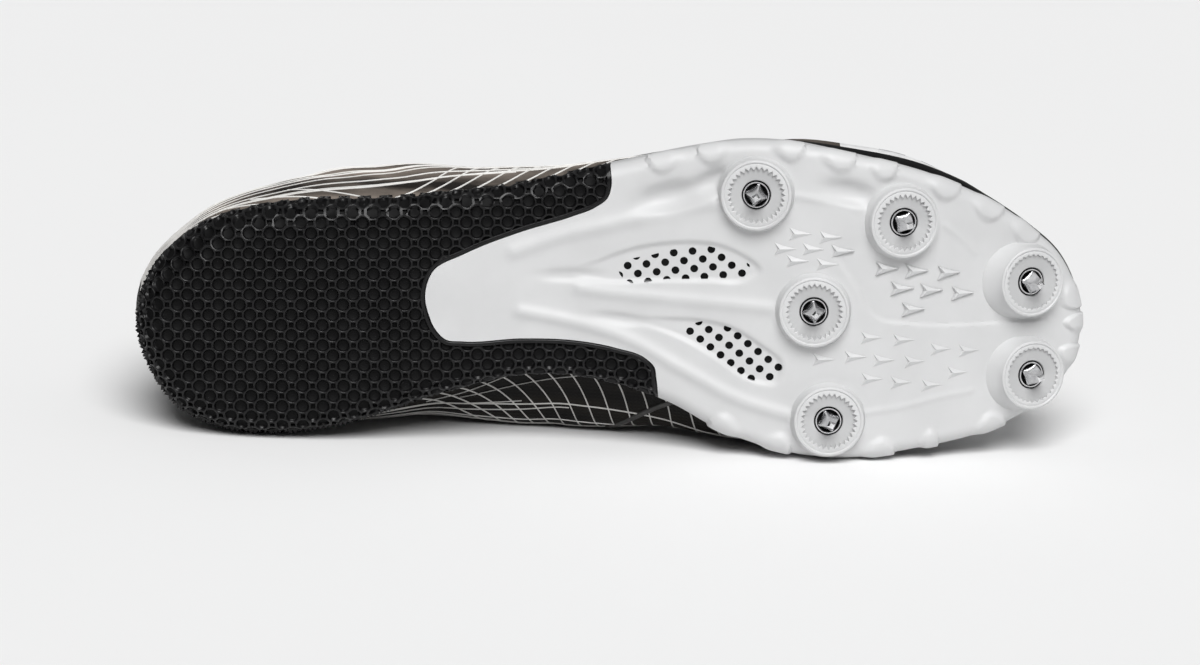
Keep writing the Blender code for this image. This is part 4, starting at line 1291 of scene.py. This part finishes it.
def wall_grid(rows):
    """The outer face of the upper as rings, from the feather line to the rim."""
    columns = upper_columns()
    top = sole_profile(RING[:, 0])[1] + GAP
    feather = np.column_stack([RING + RING_INWARD * FEATHER_INSET, top])
    bulge = np.column_stack([RING - RING_INWARD * columns[:, :1], top + columns[:, 1]])
    shoulder = columns[:, 2:5].copy()
    rim = columns[:, 5:8].copy()
    back = np.clip(1 - rim[:, 0] / (ANKLE_X * SHOE_LENGTH), 0, 1) ** 0.5
    lift = HEEL_HEIGHT / rim[0, 2]
    rim[:, 2] *= 1 + (lift - 1) * back / back[0]
    return section_curves(np.stack([feather, bulge, shoulder, rim], axis=1), rows)


def grid_normals(grid):
    """Outward unit normals of a grid of rings."""
    around = np.roll(grid, -1, axis=1) - np.roll(grid, 1, axis=1)
    return unit(np.cross(around, np.gradient(grid, axis=0)))


def creased(grid, rows):
    """The grid with the folds that wear puts in a thin upper."""
    normals = grid_normals(grid)
    count = 2 * STATIONS
    lift = np.zeros(grid.shape[:2])
    t = np.asarray(rows)[:, None]
    for side, x0, x1, t0, t1, width, depth in CREASES:
        start = station(side, x0)
        end = station(side, x1)
        share = np.clip((t - t0) / (t1 - t0), 0, 1)
        centre = start + (end - start) * share
        across = (np.arange(count)[None] - centre + STATIONS) % count - STATIONS
        ends = smooth(t, t0 - 0.03, t0 + 0.06) * (1 - smooth(t, t1 - 0.08, t1 + 0.04))
        bend = 0.8 * np.sin(9 * t + 5 * x0)
        away = across - bend
        fold = np.exp(-((away / width) ** 2)) - 0.45 * np.exp(-((away / (2.4 * width)) ** 2))
        lift -= depth * MM * fold * ends
    s = np.arange(count)[None]
    ripple = np.sin(0.55 * s + 6 * t) * np.sin(0.23 * s - 11 * t + 1.3)
    lift += RIPPLE * ripple * smooth(t, 0.05, 0.2) * (1 - smooth(t, 0.9, 1.0))
    return grid + normals * lift[:, :, None]


def wall_thickness(x, share):
    """The upper's thickness, padded round the collar."""
    collar = np.maximum(0.0, 1 - x / (COLLAR_REACH * SHOE_LENGTH)) ** 0.5
    height = np.maximum(0.0, (share - PAD_START) / (1 - PAD_START))
    pad = np.sin(np.pi * np.minimum(height * 0.75, 1.0))
    return WALL + (COLLAR_WALL - WALL) * collar * pad


ROW_SHARES = np.concatenate([[0, 0.015, 0.03], np.linspace(0.045, 1, WALL_ROWS - 3)])


def on_wall(stations, shares):
    """Points and outward normals of the upper at stations of the ring and shares of its height."""
    count = 2 * STATIONS
    stations = np.asarray(stations, float) % count
    row = np.interp(shares, ROW_SHARES, np.arange(len(ROW_SHARES)))
    low = np.clip(row.astype(int), 0, len(ROW_SHARES) - 2)
    left = stations.astype(int) % count
    u = (stations - stations.astype(int))[:, None]
    v = (row - low)[:, None]
    found = []
    for grid in (WALL_GRID, WALL_NORMALS):
        lower = grid[low, left] * (1 - u) + grid[low, (left + 1) % count] * u
        upper = grid[low + 1, left] * (1 - u) + grid[low + 1, (left + 1) % count] * u
        found.append(lower * (1 - v) + upper * v)
    return found[0], unit(found[1])


def sweep_on_wall(bm, stations, shares, section):
    """A strip along a path on the upper.

    The section gives rows of offset across and lift, each a number or one for every point of the path.
    """
    points, normals = on_wall(stations, shares)
    across = np.cross(normals, unit(np.gradient(points, axis=0)))
    rows = []
    for offset, lift in section:
        offset, lift = (np.broadcast_to(value, len(points))[:, None] for value in (offset, lift))
        rows.append(new_verts(bm, points + across * offset + normals * lift))
    capped_strip(bm, rows)


def film_section(width, lift=0.00030):
    """A flat line of film with rounded edges, its width a number or one along its path."""
    half = np.asarray(width) / 2
    left = ((-half, -SINK), (-half, 0.4 * lift), (-half * 0.6, lift))
    return (*left, (half * 0.6, lift), (half, 0.4 * lift), (half, -SINK))


def make_upper():
    count = 2 * STATIONS
    bm = bmesh.new()
    rows = [new_verts(bm, ring) for ring in WALL_GRID]
    grid_faces(bm, rows, closed=True)
    low = station("lateral", TOE_PANEL[0])
    high = station("medial", TOE_PANEL[1])
    bm.faces.ensure_lookup_table()
    for index, face in enumerate(bm.faces):
        face.material_index = int(low <= index % count < high)
    mesh = mesh_from(bm, "upper")
    upper = add_piece("shoe_upper", mesh, ["fabric", "toe", "lining", "lining"], ["upper"])
    thick = upper.vertex_groups.new(name="wall")
    for row, share in enumerate(ROW_SHARES):
        walls = wall_thickness(WALL_GRID[row, :, 0], share)
        for i in range(count):
            thick.add([row * count + i], float(walls[i] / COLLAR_WALL), "REPLACE")
    shell = upper.modifiers.new("Wall", "SOLIDIFY")
    shell.thickness = COLLAR_WALL
    shell.offset = -1
    shell.use_rim = True
    shell.vertex_group = "wall"
    shell.material_offset = 2
    shell.material_offset_rim = 2


def line_paths():
    """The thin lines on the upper: paths of stations and shares of the height, with their widths."""
    paths = []
    for side in ("lateral", "medial"):
        for k in range(OBLIQUE_LINES):
            start = OBLIQUE_FIRST + k * OBLIQUE_STEP
            lean = 0.125 - 0.085 * k / (OBLIQUE_LINES - 1)
            shares = np.linspace(0.004, 0.60 - 0.012 * k, 46)
            x = start + lean * (shares / 0.6) ** 0.72
            stations = np.array([station(side, at) for at in x])
            width = MM * (0.66 - 0.46 * np.linspace(0, 1, 46) ** 0.6)
            paths.append((stations, shares, width * (1.0 if side == "lateral" else 0.85)))
    for side, x0, x1, low, high, width in BRANCH_LINES:
        shares = low + (high - low) * np.linspace(0, 1, 40) ** 0.8
        stations = np.array([station(side, at) for at in np.linspace(x0, x1, 40)])
        paths.append((stations, shares, width * MM * (1 - 0.5 * np.linspace(0, 1, 40))))
    for share, rise, reach, width in FLOW_LINES:
        lateral = np.array([station("lateral", at) for at in np.linspace(0, reach, 90)])
        medial = np.array([station("medial", at) for at in np.linspace(reach, 0, 90)]) - 2 * STATIONS
        stations = np.concatenate([medial, lateral[1:]])
        x = np.abs(np.concatenate([np.linspace(reach, 0, 90), np.linspace(0, reach, 90)[1:]]))
        shares = share + rise * np.sin(0.5 * np.pi * x / reach) + 0.014 * np.sin(15 * x + 21 * share)
        fade = np.where(np.arange(len(x)) < 90, 0.62, 1.0)
        paths.append((stations, shares, width * MM * fade * (0.16 + 0.84 * smooth(x, 0.0, 0.30))))
    return paths


def make_lines():
    bm = bmesh.new()
    for stations, shares, width in line_paths():
        sweep_on_wall(bm, stations, shares, film_section(width))
    add_piece("upper_lines", mesh_from(bm, "lines"), ["film"])
    bm = bmesh.new()
    low = station("lateral", TOE_PANEL[0]) + 4
    high = station("medial", TOE_PANEL[1]) - 4
    for row in range(9):
        share = 0.13 + 0.055 * row
        at = low + 2.0 * (row % 2)
        while at < high - 4:
            stations = np.linspace(at, at + 2.6, 8)
            shares = share + 0.012 * np.linspace(0, 1, 8)
            sweep_on_wall(bm, stations, shares, film_section(0.0009 - 0.00004 * row, 0.00015))
            at += 4.4
    add_piece("toe_dashes", mesh_from(bm, "dashes"), ["dash"])


def make_rand():
    """The rubber rand round the forefoot, over the upper's lowest edge."""
    start = station("lateral", 0.60)
    end = station("medial", 0.66)
    stations = np.linspace(start, end, 300)
    grow = smooth(stations, start, start + 9) * (1 - smooth(stations, end - 9, end))
    places = [station(*place) for place, _ in RAND_REACH]
    lift = np.interp(stations, places, [reach * MM for _, reach in RAND_REACH])
    high = 0.0026 + 0.0022 * grow
    points = on_wall(stations, np.full(300, 0.0))[0]
    section = (
        (-0.0016, -0.0004),
        (-0.0016, lift * 0.8),
        (-0.0012, lift),
        (high * 0.75, lift),
        (high, lift * 0.55),
        (high + 0.0002, -0.0003),
    )
    bm = bmesh.new()
    out = np.column_stack([-ring_inward_at(stations), np.zeros(300)])
    up = np.array([0, 0, 1.0])
    rows = []
    for rise, away in section:
        rise, away = (np.broadcast_to(value, 300)[:, None] for value in (rise, away))
        bulge = on_wall(stations, np.maximum(rise, 0)[:, 0] / 0.075)[0]
        base = np.where(rise > 0, bulge, points + up * rise)
        rows.append(new_verts(bm, base + out * (away + 0.0002)))
    capped_strip(bm, rows)
    mesh = mesh_from(bm, "rand")
    crisp_edges(mesh, 45)
    add_piece("toe_rand", mesh, ["rand"])


def ring_inward_at(stations):
    """The outline's inward normals at stations of the ring."""
    count = 2 * STATIONS
    whole = stations.astype(int)
    part = (stations - whole)[:, None]
    return unit(RING_INWARD[whole % count] * (1 - part) + RING_INWARD[(whole + 1) % count] * part)


def make_seams():
    """Raised seams on both sides, the stay round the throat, and their stitching."""
    bm = bmesh.new()
    for side, x0, x1, t0, t1 in SEAMS:
        shares = np.linspace(t0, t1, 40)
        stations = np.array([station(side, at) for at in np.linspace(x0, x1, 40)])
        sweep_on_wall(bm, stations, shares, film_section(0.0019, 0.0006))
    add_piece("side_seams", mesh_from(bm, "seams"), ["stay"])
    bm = bmesh.new()
    stations = np.linspace(station("lateral", THROAT_BACK), station("medial", THROAT_BACK), 260)
    shares = np.linspace(STAY_LOW, 0.992, 12)
    rows = []
    for k, share in enumerate([shares[0], *shares, shares[-1]]):
        points, normals = on_wall(stations, np.full(len(stations), share))
        lift = -0.0003 if k in (0, len(shares) + 1) else 0.0005
        rows.append(new_verts(bm, points + normals * lift))
    grid_faces(bm, rows)
    mesh = mesh_from(bm, "stay")
    crisp_edges(mesh, 50)
    add_piece("eyelet_stay", mesh, ["stay"])
    bm = bmesh.new()
    for share, first, last, lift in (
        (STAY_LOW + 0.016, stations[0], stations[-1], 0.00062),
        (0.975, stations[0], stations[-1], 0.00062),
        (0.93, station("medial", THROAT_BACK) - 2 * STATIONS, station("lateral", THROAT_BACK), 0.00012),
    ):
        fine = np.linspace(first, last, 4000)
        run = run_along(on_wall(fine, np.full(4000, share))[0])
        at = 0.001
        while at < run[-1] - 0.003:
            ends = np.interp([at, at + STITCH], run, fine)
            path = np.linspace(*ends, 5)
            half = 0.00028 * np.sin(np.pi * np.linspace(0.12, 0.88, 5))
            section = [
                (half * side, lift + rise)
                for side, rise in ((-1, -SINK), (-0.7, 0.0001), (0, 0.00022), (0.7, 0.0001), (1, -SINK))
            ]
            sweep_on_wall(bm, path, np.full(5, share), section)
            at += STITCH + STITCH_GAP
    add_piece("stitching", mesh_from(bm, "stitching"), ["thread"])


def tube(bm, points, normals, half_width, half_height, sides=12, closed=False):
    """An oval tube along points, its width across the normals."""
    points = np.asarray(points, float)
    if closed:
        along = unit(np.roll(points, -1, axis=0) - np.roll(points, 1, axis=0))
    else:
        along = unit(np.gradient(points, axis=0))
    across = unit(np.cross(normals, along))
    up = np.cross(along, across)
    sizes = (half_width, half_height)
    half_width, half_height = (np.broadcast_to(half, len(points))[:, None] for half in sizes)
    turns = [2 * math.pi * k / sides for k in range(sides)]
    rows = [points + across * half_width * math.cos(a) + up * half_height * math.sin(a) for a in turns]
    rings = [new_verts(bm, [row[i] for row in rows]) for i in range(len(points))]
    if closed:
        grid_faces(bm, [*rings, rings[0]], closed=True)
    else:
        capped_rings(bm, rings)


def make_binding():
    """The soft binding over the edge of the collar and throat."""
    points = WALL_GRID[-1]
    normals = WALL_NORMALS[-1]
    wall = wall_thickness(points[:, 0], 1.0)
    centre = points - normals * (wall / 2)[:, None]
    bm = bmesh.new()
    tube(bm, centre, normals, 0.0011, 0.0004 + wall / 2, sides=14, closed=True)
    add_piece("collar_binding", mesh_from(bm, "binding"), ["stay"])


def tree_of(grid, closed=True):
    """A search tree over a grid of rings, or of open rows."""
    rows, count = grid.shape[:2]
    faces = []
    for r in range(rows - 1):
        for i in range(count if closed else count - 1):
            j = (i + 1) % count
            faces.append((r * count + i, r * count + j, (r + 1) * count + j, (r + 1) * count + i))
    return BVHTree.FromPolygons([tuple(point) for point in grid.reshape(-1, 3)], faces)


def tongue_rows(lengthways, crossways):
    """Points of the tongue's top face, kept under the upper."""
    wall = wall_thickness(WALL_GRID[:, :, 0], ROW_SHARES[:, None])
    tree = tree_of(WALL_GRID - WALL_NORMALS * wall[:, :, None])
    table = np.array(TONGUE_SECTIONS)[::-1]
    knots = table[:, 0] * SHOE_LENGTH
    x = np.linspace(knots[0], knots[-1], lengthways)
    values = interpolate(knots, table[:, 1:], x)
    across = np.linspace(-1, 1, crossways)
    rows = []
    for i in range(lengthways):
        middle, drop, half = values[i] * np.array([INSTEP_HEIGHT, INSTEP_HEIGHT, BALL_WIDTH])
        row = []
        for s in across:
            y = half * s
            z = middle - drop * s * s
            for dx in (-TONGUE_FIT, 0, TONGUE_FIT):
                for dy in (-TONGUE_FIT, 0, TONGUE_FIT):
                    start = Vector((x[i] + dx, y + dy, 0.35 * INSTEP_HEIGHT))
                    hit = tree.ray_cast(start, Vector((0, 0, 1)))[0]
                    if hit:
                        z = min(z, hit.z - TONGUE_CLEARANCE)
            row.append((x[i], y, z))
        rows.append(row)
    return np.array(rows)


def make_tongue():
    """The padded tongue with its cross channels, and the binding round its free end."""
    rows = tongue_rows(72, 33)
    soft = rows.copy()
    for _ in range(4):
        soft[1:-1, :, 2] = (soft[:-2, :, 2] + 2 * soft[1:-1, :, 2] + soft[2:, :, 2]) / 4
        soft[:, 1:-1, 2] = (soft[:, :-2, 2] + 2 * soft[:, 1:-1, 2] + soft[:, 2:, 2]) / 4
    soft[:, :, 2] = np.minimum(soft[:, :, 2], rows[:, :, 2])
    share = np.linspace(0, 1, 72)[:, None]
    channel = 0.5 - 0.5 * np.cos(2 * np.pi * share * 11)
    edge = 1 - np.abs(np.linspace(-1, 1, 33))[None] ** 6
    soft[:, :, 2] -= 0.0005 * (1 - channel**0.5) * edge
    bm = bmesh.new()
    grid_faces(bm, [new_verts(bm, row) for row in soft])
    mesh = mesh_from(bm, "tongue")
    if sum(polygon.normal.z for polygon in mesh.polygons) < 0:
        mesh.flip_normals()
    tongue = add_piece("padded_tongue", mesh, ["lining"], ["tongue"])
    shell = tongue.modifiers.new("Padding", "SOLIDIFY")
    shell.thickness = TONGUE_THICKNESS
    shell.offset = -1
    border = np.concatenate([soft[26:0:-1, 0], soft[0, :], soft[1:27, -1]])
    down = np.array([0, 0, -TONGUE_THICKNESS / 2])
    bm = bmesh.new()
    normals = np.tile((0.0, 0.0, 1.0), (len(border), 1))
    tube(bm, border + down, normals, 0.0009, TONGUE_THICKNESS / 2 + 0.0003, sides=12)
    add_piece("tongue_binding", mesh_from(bm, "tongue_binding"), ["stay"])
    return soft


def throat_half(x):
    """Half the throat's width at x."""
    rims = [row for row in UPPER_SECTIONS if row[0] == "lateral" and row[7] > LACE_LAST - 0.03]
    rims.sort(key=lambda row: row[7])
    knots = np.array([row[7] for row in rims]) * SHOE_LENGTH
    return np.interp(x, knots, [-row[8] * BALL_WIDTH for row in rims])


def wall_place(x, y, low_share=0.6):
    """The point and normal of the upper that is nearest in plan to a place, near its rim."""
    keep = ROW_SHARES > low_share
    grid = WALL_GRID[keep]
    away = np.hypot(grid[:, :, 0] - x, grid[:, :, 1] - y)
    row, column = np.unravel_index(away.argmin(), away.shape)
    return grid[row, column], WALL_NORMALS[keep][row, column]


def make_laces(tongue):
    """Straight bars from eyelet to eyelet over the tongue, and the eyelets."""
    outer = tree_of(WALL_GRID)
    under = tree_of(tongue, closed=False)
    laces = bmesh.new()
    rings = bmesh.new()
    for bar in range(LACE_BARS):
        x = (LACE_FIRST + (LACE_LAST - LACE_FIRST) * bar / (LACE_BARS - 1)) * SHOE_LENGTH
        half = throat_half(x) + EYELET_INSET
        ends = [wall_place(x, side * half) for side in (-1, 1)]
        for place, normal in ends:
            eyelet(rings, place + normal * 0.0005, normal)
        path = []
        for s in np.linspace(-1, 1, 33):
            y = half * s
            hits = []
            for dx in (-0.0025, 0, 0.0025):
                for tree in (outer, under):
                    hit = tree.ray_cast(Vector((x + dx, y, 2 * INSTEP_HEIGHT)), Vector((0, 0, -1)))[0]
                    if hit:
                        hits.append(hit.z)
            path.append((x, y, max(hits) + 0.0005 + 1.15 * LACE_THICK))
        path = np.array(path)
        for _ in range(6):
            low = path[:, 2].copy()
            path[1:-1, 2] = np.maximum(low[1:-1], (low[:-2] + 2 * low[1:-1] + low[2:]) / 4)
        left, right = (place - normal * 0.0016 for place, normal in ends)
        path[0, :2] = ends[0][0][:2]
        path[-1, :2] = ends[1][0][:2]
        path = along_curve(np.concatenate([[left], path, [right]]), 3)
        normals = np.tile((0.0, 0.0, 1.0), (len(path), 1))
        normals[:, 1] = 0.5 * path[:, 1] / half
        steps = np.arange(len(path))
        taper = np.minimum(1, np.minimum(steps, steps[::-1]) / 6)
        wide = LACE_THICK * (0.85 + 0.55 * taper)
        tube(laces, path, unit(normals), wide, LACE_THICK * (0.85 - 0.05 * taper), sides=16)
    add_piece("lace_bars", mesh_from(laces, "laces"), ["lace"], ["laces"])
    add_piece("eyelets", mesh_from(rings, "eyelets"), ["ring"])


def eyelet(bm, centre, normal):
    """A rolled metal ring."""
    normal = Vector(normal)
    side = normal.orthogonal().normalized()
    other = normal.cross(side)
    turns = [2 * math.pi * k / 28 for k in range(28)]
    points = [Vector(centre) + (side * math.cos(a) + other * math.sin(a)) * EYELET_RADIUS for a in turns]
    tube(bm, np.array(points), np.tile(tuple(normal), (28, 1)), 0.0007, 0.0004, sides=8, closed=True)


def make_insole():
    """The sock liner, dished a little, with a turned-up edge."""
    inset = FEATHER_INSET + WALL + 0.0016
    thick = INSOLE_THICKNESS
    bm = bmesh.new()
    rows = []
    section = ((0, 0), (0, thick), (0.0006, thick + 0.0004), (0.0022, thick), (0.006, thick - 0.0006))
    for extra, height in section:
        flat = RING + RING_INWARD * (inset + extra)
        rows.append(new_verts(bm, np.column_stack([flat, sole_profile(flat[:, 0])[1] + GAP + height])))
    grid_faces(bm, rows, closed=True)
    half = STATIONS
    for row in (rows[0], rows[-1]):
        bm.faces.new((row[0], row[1], row[-1]))
        for k in range(1, half - 1):
            bm.faces.new((row[k], row[k + 1], row[-k - 1], row[-k]))
        bm.faces.new((row[half - 1], row[half], row[half + 1]))
    mesh = mesh_from(bm, "liner")
    crisp_edges(mesh, 50)
    add_piece("sock_liner", mesh, ["lining"], ["insole"])


def add_camera():
    """The camera at the photograph's angle to the shoe, rolled with it."""
    tilt = math.radians(CAMERA_ELEVATION)
    right = Vector((1, 0, 0))
    up = Vector((0, -math.cos(tilt), math.sin(tilt)))
    back = right.cross(up)
    aim = Vector(AIM) - up * AIM_DROP
    pose = Matrix((right, up, back)).transposed().to_4x4()
    pose.translation = aim + back * CAMERA_DISTANCE
    data = bpy.data.cameras.new("camera")
    data.lens = LENS
    data.sensor_width = 36
    data.clip_end = 20
    camera = linked("camera", data)
    camera.matrix_world = LYING @ pose
    bpy.context.scene.camera = camera


def add_light(name, place, target, size, power):
    data = bpy.data.lights.new(name, "AREA")
    data.shape = "RECTANGLE"
    data.size = size[0]
    data.size_y = size[1]
    data.energy = power
    lamp = linked(name, data)
    lamp.location = place
    lamp.rotation_euler = (Vector(target) - Vector(place)).to_track_quat("-Z", "Y").to_euler()


def add_stage():
    bm = bmesh.new()
    bmesh.ops.create_grid(bm, x_segments=24, y_segments=24, size=FLOOR_REACH)
    floor = linked("studio_floor", mesh_from(bm, "studio_floor"))
    floor.data.materials.append(FINISHES["floor"])
    sun = bpy.data.lights.new("overhead", "SUN")
    sun.energy = SUN_POWER
    sun.angle = math.radians(SUN_SOFTNESS)
    lamp = linked("overhead", sun)
    lamp.rotation_euler = (math.radians(90 - SUN_ELEVATION), 0, math.radians(SUN_SWING))
    add_light("front_fill", (0.1, -2.2, 1.0), (0, 0, 0.04), (2.4, 1.4), FILL_POWER)
    world = bpy.data.worlds.new("studio")
    bpy.context.scene.world = world
    world.use_nodes = True
    tree = world.node_tree
    background = tree.nodes["Background"]
    background.inputs["Color"].default_value = (0.94, 0.945, 0.95, 1)
    towards = node(tree, "ShaderNodeTexCoord").outputs["Generated"]
    height = node(tree, "ShaderNodeSeparateXYZ", {"Vector": towards}).outputs["Z"]
    sky = mapped_range(tree, height, 0.0, 1.0, 0.55 * WORLD_STRENGTH, 1.25 * WORLD_STRENGTH)
    aside = node(tree, "ShaderNodeVectorMath", {0: towards, 1: (-0.8, -0.6, 0)}, operation="DOT_PRODUCT")
    screen = mapped_range(tree, aside.outputs["Value"], 0.40, 0.55, 1.0, 0.04)
    product = node(tree, "ShaderNodeMath", {0: sky, 1: screen}, operation="MULTIPLY")
    tree.links.new(product.outputs["Value"], background.inputs["Strength"])
    bpy.context.scene.view_settings.view_transform = "Standard"


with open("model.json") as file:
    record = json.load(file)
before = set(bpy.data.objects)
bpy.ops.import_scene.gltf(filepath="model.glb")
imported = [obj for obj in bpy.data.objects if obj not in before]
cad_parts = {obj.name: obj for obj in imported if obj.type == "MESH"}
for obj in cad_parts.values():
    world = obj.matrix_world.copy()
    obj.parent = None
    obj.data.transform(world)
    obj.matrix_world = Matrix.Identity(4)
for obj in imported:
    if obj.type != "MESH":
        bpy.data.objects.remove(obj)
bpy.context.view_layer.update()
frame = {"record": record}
LYING = lying_matrix(frame["record"]["mounts"][0])
FINISHES = make_materials()
add_camera()
add_stage()
make_plate()
make_bosses()
make_nubs()
make_spikes()
make_heel()
WALL_GRID = creased(wall_grid(ROW_SHARES), ROW_SHARES)
WALL_NORMALS = grid_normals(WALL_GRID)
make_upper()
make_lines()
make_rand()
make_seams()
make_binding()
make_laces(make_tongue())
make_insole()
